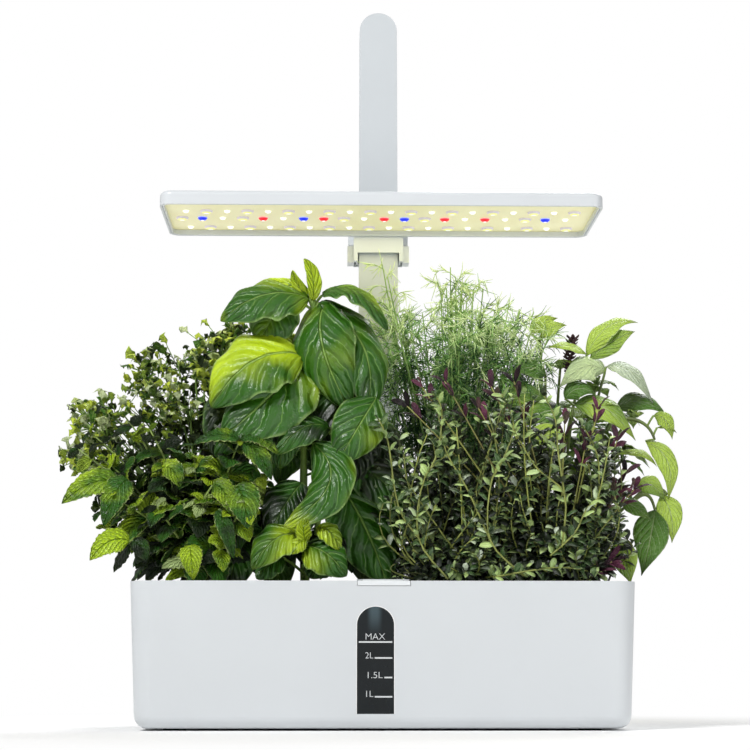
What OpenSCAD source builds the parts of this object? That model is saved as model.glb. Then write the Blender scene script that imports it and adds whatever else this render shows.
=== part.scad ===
// Countertop hydroponic garden: a water tank with a planted deck and a grow lamp
// that slides on a flat mast. Millimetres, +Z up, +X to the right, +Y to the back.
// The origin is the middle of the tank's footprint, on the table.

/* [Tank] */
// Width of the tank at its rim
tank_w = 305; // [296:1:330]
// Depth of the tank at its rim
tank_d = 154; // [152:1:176]
// Height of the tank shell, without its feet
tank_h = 87.3; // [84:0.1:110]
// How far each wall leans in between rim and floor
tank_draft = 3.9; // [2:0.1:5]
// Radius of the upright corners at the rim
tank_corner_r = 15; // [14:0.5:20]
// Radius where the walls turn into the floor
tank_edge_r = 8; // [6:0.5:8.5]
// Radius between walls and floor on the inside
tank_inner_r = 2; // [1:0.1:2.4]
// Thickness of the tank's walls and floor
tank_wall = 2.5; // [2:0.1:2.8]
// Width of the inner ledge that carries the deck
ledge_w = 2.2; // [1.8:0.1:3]
// Thickness of that ledge at its inner edge
ledge_t = 1.6; // [1.2:0.1:2.5]
// Diameter of a rubber foot
foot_d = 14; // [10:0.5:18]
// How far a foot stands out below the tank
foot_proud = 1.2; // [0.8:0.1:3]
// Depth of a foot's recess in the floor
foot_recess = 1; // [0.6:0.1:1.2]
// Distance of a corner foot from the rim's edges
foot_inset = 27; // [24:1:40]

/* [Level window] */
// Width of the window
window_w = 23.1; // [18:0.1:28]
// Height of the window, with its round top
window_h = 63.7; // [50:0.1:66]
// Height of the window's lower edge above the table
window_low = 9.9; // [9.8:0.1:12]
// Sideways place of the window's middle
window_x = -5; // [-10:0.5:10]
// Width of the flange behind the wall
window_flange_w = 3; // [2:0.1:3.6]
// Thickness of that flange
window_flange_t = 1.5; // [1:0.1:2]
// Thickness of the window's gasket
gasket_t = 0.8; // [0.5:0.1:1.5]
// Height of the MAX mark above the table
mark_max_z = 52.2; // [48:0.1:60]
// Height of the 2 litre mark
mark_2l_z = 42.8; // [38:0.1:47]
// Height of the 1.5 litre mark
mark_1l5_z = 31.3; // [27:0.1:36]
// Height of the 1 litre mark
mark_1l_z = 20; // [17:0.1:25]
// Length of the 2 litre and 1 litre marks
mark_short = 10.4; // [6:0.1:14]
// Length of the 1.5 litre mark
mark_mid = 4.7; // [3:0.1:6]
// Thickness of a level line
mark_line = 0.9; // [0.6:0.1:1.2]
// How far the printed marks stand out
mark_proud = 0.2; // [0.1:0.05:0.3]

/* [Deck and pods] */
// How far the deck's top lies below the rim
deck_drop = 1.8; // [1.6:0.1:4]
// Thickness of the deck plate
deck_t = 2.2; // [1.6:0.1:3]
// Clearance round the deck
deck_clear = 0.4; // [0.3:0.1:1]
// Depth of the skirt under the deck
deck_skirt_h = 4.5; // [3:0.1:8]
// Sideways place of the inner pods
pod_inner_x = 48; // [46:0.5:52]
// Sideways place of the outer pods
pod_outer_x = 112; // [110:0.5:118]
// Place of the front row of pods
pod_front_y = -30; // [-34:0.5:-28]
// Place of the rear row of pods
pod_rear_y = 26; // [22:0.5:28]
// Radius of a basket's body at the deck
basket_r = 14; // [12:0.1:15]
// Radius of a basket's body at its foot
basket_foot_r = 11.5; // [9:0.1:12]
// Radius of a basket's flange
basket_flange_r = 17; // [16:0.1:18.5]
// Thickness of a basket's flange
basket_flange_t = 1.5; // [1:0.1:2]
// Depth of a basket below the deck's top
basket_depth = 46; // [30:1:46]
// Wall of a basket
basket_wall = 1.2; // [0.8:0.1:1.4]

/* [Refill flap] */
// Width of the refill flap
flap_w = 31.5; // [29:0.1:36]
// Thickness of the flap's plate
flap_t = 1.6; // [1.2:0.1:2]
// Height of the flap's front lip
flap_lip_h = 2.9; // [2.2:0.1:5]
// Distance of the flap's hinge behind the rim
flap_reach = 28; // [26:0.5:32]
// Radius of the hinge pin
flap_pin_r = 1; // [0.8:0.05:1.1]

/* [Herbs] */
// Height of the mint over the deck
mint_height = 116; // [80:1:130]
// Height of the basil in the front row
basil_front_height = 200; // [120:1:205]
// Height of the thyme
thyme_height = 142; // [90:1:160]
// Height of the purple basil
purple_basil_height = 124; // [90:1:140]
// Height of the parsley
parsley_height = 160; // [100:1:175]
// Height of the basil in the rear row
basil_rear_height = 194; // [120:1:205]
// Height of the dill
dill_height = 200; // [120:1:205]
// Height of the lemon basil
lemon_basil_height = 182; // [110:1:190]
// Radius of a herb's main stem
stem_r = 3; // [2:0.1:4]

/* [Mast] */
// Width of the mast at its foot
mast_foot_w = 27.6; // [27:0.1:29]
// Width of the mast at its top
mast_top_w = 25.8; // [25.4:0.1:27]
// Thickness of the front cover
mast_cover_t = 10; // [9:0.1:12]
// Wall of the front cover
mast_wall = 2; // [1.6:0.1:2.2]
// Height of the mast's top above the table
mast_top = 488; // [475:1:520]
// Distance from the tank's rear rim to the mast's front
mast_set_in = 24; // [24:0.5:26]
// Width of the rail's rear flange
rail_flange_w = 24.4; // [24:0.1:24.8]
// Thickness of the rail's rear flange
rail_flange_t = 2.2; // [1.8:0.1:3]
// Width of a power strip
strip_w = 3; // [2:0.1:4]
// Thickness of a power strip
strip_t = 0.6; // [0.4:0.1:1]

/* [Mast socket] */
// Height of the socket's foot above the table
socket_low = 28; // [22:1:30]
// Wall of the socket
socket_wall = 2.2; // [1.8:0.1:2.4]
// Clearance between mast and socket
socket_clear = 0.2; // [0.1:0.05:0.3]
// Width of the bridge plate
bridge_w = 48; // [46:0.5:52]
// Height of the contact block
contact_h = 4; // [3:0.1:6]

/* [Lamp] */
// Width of the lamp
lamp_w = 283; // [240:1:310]
// Depth of the lamp
lamp_d = 90.5; // [88:0.5:110]
// Thickness of the lamp
lamp_t = 9.3; // [8.6:0.1:12]
// Height of the lamp's underside above the table
lamp_low = 327.7; // [326:0.1:350]
// Radius of the lamp's upright corners
lamp_corner_r = 8; // [5:0.5:12]
// Radius of the lamp's top edge
lamp_edge_r = 3; // [2.2:0.1:3.5]
// Wall of the lamp housing
lamp_wall = 1.4; // [1.2:0.1:1.8]
// Thickness of the lamp's roof
lamp_roof = 1.8; // [1.4:0.1:2]
// Thickness of the bezel inside the housing wall
bezel_t = 1.2; // [1:0.1:2]
// How far the LED plate lies above the lamp's lower edge
lamp_recess = 3.8; // [3:0.1:3.9]
// Thickness of the LED plate
board_t = 1.2; // [1:0.1:1.6]
// Distance of the outermost LEDs from the lamp's ends
led_end_inset = 14.7; // [14.2:0.1:20]
// Sideways shift of the rows with coloured LEDs
led_colour_shift = -3.8; // [-4:0.1:4]
// Radius of a warm LED's lens
led_warm_r = 4.2; // [3:0.1:4.4]
// Radius of a white LED's lens
led_white_r = 2; // [1.5:0.1:3]
// Radius of a coloured LED's lens
led_colour_r = 3.2; // [2:0.1:4]
// Radius of the power and mode buttons
button_r = 4.5; // [3.5:0.1:6]
// Travel of the power and mode buttons
button_travel = 0.6; // [0.4:0.05:0.6]

/* [Slider] */
// Clearance between saddle and mast
saddle_clear = 0.4; // [0.3:0.05:0.6]
// Thickness of the saddle's front
saddle_front_t = 3.1; // [2.6:0.1:4]
// Thickness of the saddle's cheeks
saddle_cheek_t = 2.8; // [2.6:0.1:3.4]
// How far the saddle's front hangs below the lamp
saddle_hang = 10.9; // [10:0.1:14]
// How far the cheeks hang below the lamp
cheek_hang = 16.7; // [16.5:0.1:20]
// Thickness of the rear plate
slider_plate_t = 2; // [1.6:0.1:3]
// How far a release button stands out of its cheek
release_proud = 4.2; // [3.8:0.1:6]
// Height of a release button
release_h = 11.4; // [11.2:0.1:11.6]
// Travel of a release button
release_travel = 1.4; // [1:0.05:1.4]
// Thickness of a release button's arm
release_arm_t = 2.2; // [1.6:0.1:2.6]
// Height of a release button's arm
release_arm_h = 4; // [3:0.1:4]
// Outer radius of a release spring
spring_r = 1.7; // [1.4:0.1:2]
// Radius of its wire
spring_wire_r = 0.22; // [0.15:0.01:0.3]

/* [Pump] */
// Length of the pump body
pump_l = 28; // [26:0.5:30]
// Length of the pump cover
pump_cover_l = 12; // [11:0.5:13]
// Width of the pump
pump_w = 32; // [28:0.5:34]
// Height of the pump
pump_h = 28; // [24:0.5:28]
// Height of a suction cup
cup_h = 4.3; // [3.5:0.1:4.4]
// Radius of the impeller shaft
shaft_r = 1; // [0.8:0.05:1.4]
// Radius of the rotor magnet
magnet_r = 6.4; // [5:0.1:7]
// Radius across the impeller's blades
impeller_r = 8.4; // [7:0.1:9]
// Clearance round the rotor
rotor_clear = 0.6; // [0.4:0.1:1]
// Outer radius of the pump's spout
spout_r = 4; // [3.5:0.1:4.5]
// Outer radius of the riser tube
riser_r = 5.4; // [5.2:0.1:6.5]
// Radius of the pump lead and the supply lead
lead_r = 1.6; // [1.2:0.1:1.8]
// Radius of the power jack's body
jack_r = 5.2; // [4.5:0.1:6]
// Length of the power jack inside the tank
jack_l = 12; // [10:0.5:13]

/* [Hidden] */

white_abs = [0.87, 0.89, 0.90];
dark_glass = [0.15, 0.17, 0.18];
black_rubber = [0.12, 0.12, 0.12];
leaf_green = [0.22, 0.42, 0.12];
brass_tone = [0.80, 0.66, 0.35];
steel_tone = [0.70, 0.71, 0.72];

round_fn = 64;       // facets that only set the preview's smoothness
leaf_fn = 20;        // facets of a leaf mass
arc_steps = 5;       // straight steps in a moulded fillet
eps = 0.01;          // overlap of two shapes of one piece
cut = 1;             // overrun of a cut past a face
cross_l = 0.6;       // a screw's cross slot, as shares of its head and shank
cross_w = 0.2;
fit = 0.05;          // radial clearance of a running or screwed fit
screw_fit = 0.05;    // radial clearance round a screw's shank
soft_gap = 0.3;      // gap between neighbouring leaf masses
touch_gap = 0.1;     // gap between pieces that meet face to face

// Tank: heights and slopes
rim_z = foot_proud + tank_h;
lean = tank_draft / tank_h;
lean_deg = atan(lean);
wall_across = tank_wall / cos(lean_deg);
floor_z = foot_proud + tank_wall;
corner_foot_r = tank_corner_r - tank_draft;
edge_axis_x = corner_foot_r + tank_edge_r * lean - tank_edge_r / cos(lean_deg);
inner_axis_z = floor_z + tank_inner_r;
inner_axis_x = corner_foot_r + (inner_axis_z - foot_proud) * lean - wall_across
    - tank_inner_r / cos(lean_deg);
deck_top = rim_z - deck_drop;
ledge_z = deck_top - deck_t;
// Half of the clear width inside the tank at height z, where half is half its rim size
function inner_half(half, z) = half - wall_across - (rim_z - z) * lean;
function arc(cx, cy, r, from, to) =
    [for (i = [0:arc_steps]) let (a = from + (to - from) * i / arc_steps)
        [cx + r * cos(a), cy + r * sin(a)]];

// Mast and socket
mast_front = tank_d / 2 - mast_set_in;
mast_back = mast_front + mast_cover_t + rail_flange_t;
socket_floor_t = 2;
mast_low = socket_low + socket_floor_t + contact_h;
mast_dome_z = mast_top - mast_top_w / 2;
rail_top = mast_dome_z + 3;
rail_web_w = 21;
rail_web_clear = 0.1;
rail_wall = 2;
rail_end_t = 4;
strip_x = 4;
strip_top = rail_top - 8;
socket_half = mast_foot_w / 2 + socket_clear;
socket_front = mast_front - socket_clear;
socket_back = mast_back + socket_clear;
bridge_front = socket_front - socket_wall - 1.1;
bridge_back = inner_half(tank_d / 2, ledge_z) - deck_clear;
bridge_clear = 0.5;
boss_r = 3.4;
boss_depth = 14;
boss_x = socket_half + socket_wall + boss_r + 0.3;
boss_y = bridge_back - boss_r - 0.4;
screw_r = 1.4;
screw_head_r = 2.7;
screw_head_h = 1.3;
screw_l = 9;
boss_rib_half = 1;
gasket_inset = 0.3;

// Flap
flap_front = -tank_d / 2;
flap_hinge_y = flap_front + flap_reach;
flap_gap = 0.1;
flap_barrel_r = flap_pin_r + 0.9;
flap_hinge_z = deck_top + flap_barrel_r + 0.2;
flap_notch_clear = 0.3;
flap_ear_w = 3;
flap_ear_clear = 0.25;
flap_ear_gap = 0.3;
flap_overlap = 0.1;
pin_press_fit = 0.02;
port_rim = 3;
port_back_gap = 5;
pod_collar_w = 2.2;
basket_clear = 0.4;
basket_slot_half = 2;
basket_slot_low = 5;                // from the basket's foot
basket_slot_top = 14;               // from the deck's top
basket_hole_r = 3;

// Lamp and slider
lamp_top = lamp_low + lamp_t;
lamp_back = mast_front - saddle_clear - saddle_front_t;
lamp_mid_y = lamp_back - lamp_d / 2;
board_low = lamp_low + lamp_recess;
board_top = board_low + board_t;
roof_low = lamp_top - lamp_roof;
board_clear = 0.2;
bezel_clear = 0.1;
led_base_t = 0.5;
led_core_t = 0.6;
led_front_gap = 0.8;               // between the front row's lenses and the bezel
led_front_row = led_front_gap + led_warm_r + bezel_t + bezel_clear + lamp_wall - lamp_d / 2;
led_plain_rows = [-11.5, 33.3];    // from the lamp's middle line
led_colour_rows = [led_front_row, 7.3];
// LEDs of a coloured row, left to right: a warm, w white, r red, b blue
colour_row = ["a", "b", "w", "a", "r", "w", "b", "r", "a", "w",
              "r", "b", "a", "r", "w", "r", "w", "a", "b", "w"];
led_cols = len(colour_row);
led_pitch = (lamp_w - 2 * led_end_inset) / (led_cols - 1);
led_white_core_r = led_white_r - 0.6;
led_warm_core_r = led_warm_r - 2.1;
led_colour_core_r = 1;
led_fn = 32;
button_x = 16;
button_y = lamp_mid_y - 18;
button_clear = 0.2;
button_proud = 0.5;
button_flange_w = 1;
button_flange_t = 0.5;
control_t = 0.8;
control_gap = 0.1;                 // from a pressed button's flange to the control board
control_top = roof_low - button_flange_t - button_travel - control_gap;
control_half_x = 32;
control_half_y = 9;
control_boss_inset_x = 4;
control_boss_inset_y = 3;
control_boss_r = 2.4;
control_screw_r = 0.8;
control_screw_head_r = 1.5;
control_screw_head_h = 0.4;
board_boss_inset_x = 40;
board_boss_inset_y = 18;
board_boss_r = 3;
saddle_half = mast_foot_w / 2 + 0.25;
cheek_out = saddle_half + saddle_cheek_t;
saddle_low = lamp_low - saddle_hang;
cheek_low = lamp_low - cheek_hang;
release_out = cheek_out + release_proud;
release_top = cheek_low + release_h;
release_in = cheek_out - 0.25;
release_floor = release_in - release_travel - 0.1;
release_front = mast_front + 2;
shoe_gap = 0.05;
shoe_w = 1.1;
shoe_front_gap = 0.4;
arm_front = mast_back + 1;
arm_back = arm_front + release_arm_t;
plate_front = arm_back + 0.2;
cheek_split_z = release_top + 0.4;
cheek_short_back = mast_front + mast_cover_t + 0.2;
arm_low_left = cheek_low + 1;
arm_low_right = arm_low_left + release_arm_h + 1.5;
spring_y = mast_front + 6;
spring_z = cheek_low + release_h / 2;
spring_turns = 5;
spring_steps = 12;                 // straight steps in a turn
spring_wire_sides = 6;
spring_clear = 0.2;
spring_seat_x = release_out - 1.05;
tongue_half = 13;
tongue_l = 19.5;
tongue_clear = 0.1;
ear_w = 3.6;
ear_h = 10;
ear_low = cheek_split_z + 1.6;
ear_d = 7;
slider_screw_r = 1;
slider_screw_head_r = 1.9;
ear_screw_head_r = 1.6;
ear_screw_head_h = 0.8;
ear_screw_l = 7;
tongue_screw_x = 8;
tongue_screw_y = lamp_back - 8;
tongue_screw_head_h = 0.9;
tongue_screw_l = 3.8;
guide_w = 3.2;
guide_clear = 0.2;
guide_inset = 0.4;
pocket_clear = 0.3;
brush_inset = 0.2;
brush_low = 2;
brush_h = 6;

// Pump
pump_x = (pod_inner_x + pod_outer_x) / 2;       // middle of the spout
pump_y = pod_rear_y + 4;
pump_low = floor_z + cup_h;
pump_axis_z = pump_low + pump_h / 2;
cover_x = pump_x - 3.5;                          // where body and cover meet
body_x = cover_x - pump_l;
cover_end_x = cover_x + pump_cover_l;
well_r = magnet_r + rotor_clear;
chamber_r = impeller_r + rotor_clear;
well_l = 22;
chamber_l = 7;
hub_r = 3.2;
magnet_l = 18.4;
blade_t = 1.2;
blades = 6;
shaft_seat = 2.5;
shaft_end_gap = 0.2;
inlet_off = 5.5;                                 // four inlet holes round the shaft
inlet_r = 2.2;
spout_top = pump_low + pump_h + 8;
spout_bore_r = spout_r - 1.4;
riser_low = pump_low + pump_h + 0.5;
riser_top = ledge_z - deck_skirt_h - 2;
grille_t = 5;
grille_wall = 1.2;
grille_inset = 1;
slot_pitch = 3.6;
slot_half = 0.9;
slot_inset = 4;
cup_r = 6;
cup_hollow = 1.2;
cup_neck_r = 3;
cup_neck_h = 1;
gland_l = 2;
gland_r = lead_r + 1;
gland_x = body_x + 8;
lead_clear = 0.3;
lead_turn_x = socket_half + socket_wall + 8;
supply_slope = 2;
lead_z = pump_low + pump_h / 2 + 2;
lead_y = mast_front + 6;
lead_bend = 4;
lead_sides = 8;
contact_z = socket_low + socket_floor_t + contact_h / 2;
jack_x = -34;
jack_z = rim_z - 16.5;
jack_flange_r = jack_r + 1.6;
jack_flange_t = 1.5;
jack_plug_r = 2.75;
jack_end_t = 3;

mark_inset = 1.6;

// Pods, front row then rear row, each from left to right
pods = [for (y = [pod_front_y, pod_rear_y])
        for (x = [-pod_outer_x, -pod_inner_x, pod_inner_x, pod_outer_x]) [x, y]];
sponge_gap = 0.2;
sponge_top = deck_top + basket_flange_t - 0.7;
herb_front = -tank_d / 2 - 8;
herb_back = mast_front - 6.5;
leaf_lift = 0.5;                   // from a basket's flange to the lowest leaves

// ---------- shared shapes ----------

// A block given by its low and high limits along each axis
module span(x, y, z)
    translate([x[0], y[0], z[0]]) cube([x[1] - x[0], y[1] - y[0], z[1] - z[0]]);

module span_2d(x, y) translate([x[0], y[0]]) square([x[1] - x[0], y[1] - y[0]]);

// A plain bar or hole along Z, X or Y
module drum(r, z) translate([0, 0, z[0]]) cylinder(h = z[1] - z[0], r = r, $fn = round_fn);
module rod_x(x, r) rotate([0, 90, 0]) drum(r, x);
module rod_y(y, r) rotate([-90, 0, 0]) drum(r, y);

// The same shape on the right and on the left
module both_sides() for (sx = [0, 1]) mirror([sx, 0, 0]) children();

// Carries a wall's section round a rounded rectangle. In the section, x runs
// outwards from the corner's axis and y runs up.
module round_the_rim(w, d, r)
    for (k = [0:3]) {
        long_side = k % 2 == 0 ? d : w;
        far_side = k % 2 == 0 ? w : d;
        rotate([0, 0, 90 * k]) {
            translate([far_side / 2 - r, long_side / 2 - r, 0])
                rotate_extrude(angle = 90, $fn = round_fn) children();
            translate([far_side / 2 - r, long_side / 2 - r, 0])
                rotate([90, 0, 0]) linear_extrude(long_side - 2 * r) children();
        }
    }

module rounded_plate(w, d, r, z)
    translate([0, 0, z[0]]) linear_extrude(z[1] - z[0]) {
        square([w - 2 * r, d], center = true);
        square([w, d - 2 * r], center = true);
        for (sx = [-1, 1], sy = [-1, 1])
            translate([sx * (w / 2 - r), sy * (d / 2 - r)]) circle(r, $fn = round_fn);
    }

// A countersunk screw, its head's top at the origin and its shank down
module screw(r, head_r, head_h, l)
    difference() {
        union() {
            translate([0, 0, -head_h]) cylinder(h = head_h, r1 = r, r2 = head_r, $fn = round_fn);
            drum(r, [-l, eps - head_h]);
        }
        for (a = [0, 90]) rotate([0, 0, a])
            span([-cross_l * head_r, cross_l * head_r], [-cross_w * r, cross_w * r],
                 [-cross_l * head_h, eps]);
    }
module screw_hole(r, head_r, head_h, l) {
    translate([0, 0, -head_h])
        cylinder(h = head_h, r1 = r + screw_fit, r2 = head_r + screw_fit, $fn = round_fn);
    drum(r + screw_fit, [-l, 0]);
    drum(head_r + screw_fit, [-eps, cut]);
}

// Places things on the leaning front wall: y runs into the tank, z along the wall
module on_front_wall() translate([0, -tank_d / 2, rim_z]) rotate([lean_deg, 0, 0]) children();
module on_rear_wall() mirror([0, 1, 0]) on_front_wall() children();

function unit(v) = v / norm(v);
// The points of a route with each inner corner rounded off
function rounded_route(p, r, n = 4) = concat([p[0]],
    [for (i = [1:len(p) - 2], k = [0:n])
        let (a = p[i] + r * unit(p[i - 1] - p[i]), c = p[i] + r * unit(p[i + 1] - p[i]), t = k / n)
        (1 - t) * (1 - t) * a + 2 * t * (1 - t) * p[i] + t * t * c],
    [p[len(p) - 1]]);
// A round tube along a list of points
module tube_along(p, r, sides) {
    last = len(p) - 1;
    lean_ref = unit([0.36, 0.48, 0.80]);
    rings = [for (i = [0:last])
        let (t = unit(p[min(i + 1, last)] - p[max(i - 1, 0)]),
             u = unit(cross(lean_ref, t)), v = cross(t, u))
        for (s = [0:sides - 1]) p[i] + r * (cos(360 * s / sides) * u + sin(360 * s / sides) * v)];
    skin = [for (i = [0:last - 1], s = [0:sides - 1])
        let (a = i * sides + s, b = i * sides + (s + 1) % sides)
        each [[a, a + sides, b], [b, a + sides, b + sides]]];
    polyhedron(rings, concat(skin, [[for (s = [0:sides - 1]) s]],
        [[for (s = [sides - 1:-1:0]) last * sides + s]]), convexity = 6);
}

// ---------- tank ----------

module tank_section() {
    top_in = tank_corner_r - wall_across;
    polygon(concat(
        [[0, foot_proud]],
        arc(edge_axis_x, foot_proud + tank_edge_r, tank_edge_r, -90, -lean_deg),
        [[tank_corner_r, rim_z], [top_in, rim_z]],
        arc(inner_axis_x, inner_axis_z, tank_inner_r, -lean_deg, -90),
        [[0, floor_z]]));
}
module ledge_section() {
    wall_x = inner_half(tank_corner_r, ledge_z);
    root = 0.6;
    polygon([[wall_x - ledge_w, ledge_z], [wall_x + root, ledge_z],
             [wall_x + root - 2 * lean, ledge_z - ledge_t - ledge_w - root],
             [wall_x - ledge_w, ledge_z - ledge_t]]);
}
module window_outline(grow) {
    r = window_w / 2 + grow;
    top = window_low + window_h - rim_z;
    low = window_low - rim_z;
    translate([window_x, 0]) {
        translate([0, top - window_w / 2]) circle(r, $fn = round_fn);
        translate([-r, low - grow]) square([2 * r, top - window_w / 2 - low + grow]);
    }
}
// A slab with the window's outline, between two depths behind the wall's outside
module window_slab(grow, y)
    translate([0, y[1], 0]) rotate([90, 0, 0]) linear_extrude(y[1] - y[0]) window_outline(grow);

module foot_places()
    for (p = concat([[0, 0]], [for (sx = [-1, 1], sy = [-1, 1])
         [sx * (tank_w / 2 - foot_inset), sy * (tank_d / 2 - foot_inset)]]))
        translate([p[0], p[1], 0]) children();

module socket_boss_places() for (sx = [-1, 1]) translate([sx * boss_x, boss_y, 0]) children();

module tank_shell() color(white_abs) difference() {
    union() {
        round_the_rim(tank_w, tank_d, tank_corner_r) tank_section();
        span([-tank_w / 2 + tank_corner_r, tank_w / 2 - tank_corner_r],
             [-tank_d / 2 + tank_corner_r, tank_d / 2 - tank_corner_r], [foot_proud, floor_z]);
        round_the_rim(tank_w, tank_d, tank_corner_r) ledge_section();
        socket_boss_places() {
            drum(boss_r, [ledge_z - boss_depth, ledge_z]);
            span([-boss_rib_half, boss_rib_half],
                 [0, tank_d / 2 - boss_y - wall_across / 2 - boss_depth * lean],
                 [ledge_z - boss_depth, ledge_z]);
        }
    }
    on_front_wall() window_slab(0, [-cut, tank_wall + cut]);
    at_jack() rod_y([-cut, tank_wall + cut], jack_r + fit);
    foot_places() drum(foot_d / 2, [0, foot_proud + foot_recess]);
    socket_boss_places() drum(screw_r + screw_fit, [ledge_z - screw_l, ledge_z + cut]);
    // notch in the front rim for the flap's lip
    span([-flap_w / 2 - flap_notch_clear, flap_w / 2 + flap_notch_clear],
         [-tank_d / 2 - cut, -tank_d / 2 + wall_across + ledge_w + cut],
         [rim_z - flap_lip_h - flap_notch_clear, rim_z + cut]);
}

module window_panel() color(dark_glass) on_front_wall() {
    window_slab(-fit, [0, tank_wall + gasket_t + eps]);
    window_slab(window_flange_w, [tank_wall + gasket_t, tank_wall + gasket_t + window_flange_t]);
}
module window_gasket() color(black_rubber) on_front_wall() difference() {
    window_slab(window_flange_w - gasket_inset, [tank_wall, tank_wall + gasket_t]);
    window_slab(fit, [tank_wall - cut, tank_wall + gasket_t + cut]);
}
module level_marks() color("white") on_front_wall() {
    half = window_w / 2 - mark_inset;
    for (mark = [[mark_2l_z, mark_short], [mark_1l5_z, mark_mid], [mark_1l_z, mark_short]])
        span([window_x + half - mark[1], window_x + half], [-mark_proud, 0],
             [mark[0] - rim_z - mark_line / 2, mark[0] - rim_z + mark_line / 2]);
    span([window_x - half, window_x + half], [-mark_proud, 0],
         [mark_max_z - rim_z - mark_line / 2, mark_max_z - rim_z + mark_line / 2]);
}
module rubber_feet() color(black_rubber) foot_places() drum(foot_d / 2, [0, foot_proud + foot_recess]);

module mast_socket() color(white_abs) difference() {
    union() {
        span([-socket_half - socket_wall, socket_half + socket_wall],
             [socket_front - socket_wall, socket_back + socket_wall], [socket_low, ledge_z + deck_t]);
        span([-bridge_w / 2, bridge_w / 2], [bridge_front, bridge_back], [ledge_z, ledge_z + deck_t]);
    }
    span([-socket_half, socket_half], [socket_front, socket_back],
         [socket_low + socket_floor_t, rim_z + cut]);
    translate([0, lead_y, contact_z]) {
        rod_x([socket_half - cut, socket_half + socket_wall + cut], lead_r + lead_clear);
        rod_x([-socket_half - socket_wall - cut, -socket_half + cut], lead_r + lead_clear);
    }
    socket_boss_places() translate([0, 0, ledge_z + deck_t])
        screw_hole(screw_r, screw_head_r, screw_head_h, screw_l);
}
module socket_screws() color(steel_tone)
    socket_boss_places() translate([0, 0, ledge_z + deck_t])
        screw(screw_r, screw_head_r, screw_head_h, screw_l);
module contact_block() color(brass_tone)
    span([-socket_half, socket_half], [socket_front, socket_back],
         [socket_low + socket_floor_t, socket_low + socket_floor_t + contact_h]);

module at_jack() on_rear_wall() translate([jack_x, 0, (jack_z - rim_z) / cos(lean_deg)]) children();
module dc_jack() color(black_rubber) at_jack() difference() {
    union() {
        rod_y([-jack_flange_t, 0], jack_flange_r);
        rod_y([-eps, jack_l], jack_r);
    }
    rod_y([-jack_flange_t - cut, jack_l - jack_end_t], jack_plug_r);
}
// Where the middle of the jack's inner end lies
jack_end_y = tank_d / 2 - (rim_z - jack_z) * lean - jack_l * cos(lean_deg);
jack_end_z = jack_z - jack_l * sin(lean_deg);
module supply_lead() color(black_rubber)
    tube_along(rounded_route([[jack_x, jack_end_y - touch_gap, jack_end_z],
        [jack_x, lead_y - supply_slope, jack_end_z], [jack_x, lead_y, contact_z],
        [-socket_half, lead_y, contact_z]], lead_bend / 2), lead_r, lead_sides);

// ---------- pump ----------

module at_pump_axis() translate([0, pump_y, pump_axis_z]) children();

module pump_body() color([0.25, 0.26, 0.28]) difference() {
    union() {
        span([body_x, cover_x], [pump_y - pump_w / 2, pump_y + pump_w / 2], [pump_low, pump_low + pump_h]);
        translate([gland_x, pump_y + pump_w / 2 - eps, lead_z]) rod_y([0, gland_l + eps], gland_r);
    }
    at_pump_axis() {
        rod_x([cover_x - well_l, cover_x + cut], well_r);
        rod_x([cover_x - well_l - shaft_seat, cover_x], shaft_r + fit);
    }
}
module pump_cover() color([0.25, 0.26, 0.28]) difference() {
    union() {
        span([cover_x, cover_end_x], [pump_y - pump_w / 2, pump_y + pump_w / 2],
             [pump_low, pump_low + pump_h]);
        translate([pump_x, pump_y, 0]) drum(spout_r, [pump_low + pump_h - eps, spout_top]);
    }
    at_pump_axis() {
        rod_x([cover_x - cut, cover_x + chamber_l], chamber_r);
        rod_x([cover_x, cover_x + chamber_l + shaft_seat], shaft_r + fit);
        for (a = [45:90:315]) rotate([a, 0, 0]) translate([0, inlet_off, 0])
            rod_x([cover_x, cover_end_x + cut], inlet_r);
    }
    translate([pump_x, pump_y, 0]) drum(spout_bore_r, [pump_axis_z + chamber_r - cut, spout_top + cut]);
}
module pump_grille() color([0.2, 0.2, 0.22]) difference() {
    half_y = pump_w / 2 - grille_inset;
    low = pump_low + grille_inset;
    high = pump_low + pump_h - grille_inset;
    span([cover_end_x, cover_end_x + grille_t], [pump_y - half_y, pump_y + half_y], [low, high]);
    span([cover_end_x - cut, cover_end_x + grille_t - grille_wall],
         [pump_y - half_y + grille_wall, pump_y + half_y - grille_wall],
         [low + grille_wall, high - grille_wall]);
    for (k = [-3:3])
        span([cover_end_x + grille_t - 2 * grille_wall, cover_end_x + grille_t + cut],
             [pump_y + slot_pitch * k - slot_half, pump_y + slot_pitch * k + slot_half],
             [low + slot_inset, high - slot_inset]);
}
module suction_cups() color([0.85, 0.86, 0.86, 0.6])
    for (x = [body_x + cup_r, cover_end_x - cup_r], sy = [-1, 1])
        translate([x, pump_y + sy * (pump_w / 2 - cup_r), floor_z])
            rotate_extrude($fn = round_fn)
                polygon([[0, cup_hollow], [cup_r - cup_hollow, 0], [cup_r, 0],
                         [cup_neck_r, cup_h - cup_neck_h], [cup_neck_r, cup_h], [0, cup_h]]);
module pump_riser() color([0.9, 0.92, 0.92, 0.6])
    translate([pump_x, pump_y, 0]) rotate_extrude($fn = round_fn)
        polygon([[spout_r + fit, riser_low], [riser_r, riser_low], [riser_r, riser_top],
                 [spout_bore_r, riser_top], [spout_bore_r, spout_top + fit],
                 [spout_r + fit, spout_top + fit]]);
module pump_lead() color(black_rubber)
    tube_along(rounded_route([[gland_x, pump_y + pump_w / 2 + gland_l, lead_z],
        [gland_x, lead_y, lead_z], [lead_turn_x, lead_y, lead_z], [lead_turn_x, lead_y, contact_z],
        [socket_half, lead_y, contact_z]], lead_bend), lead_r, lead_sides);
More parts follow.
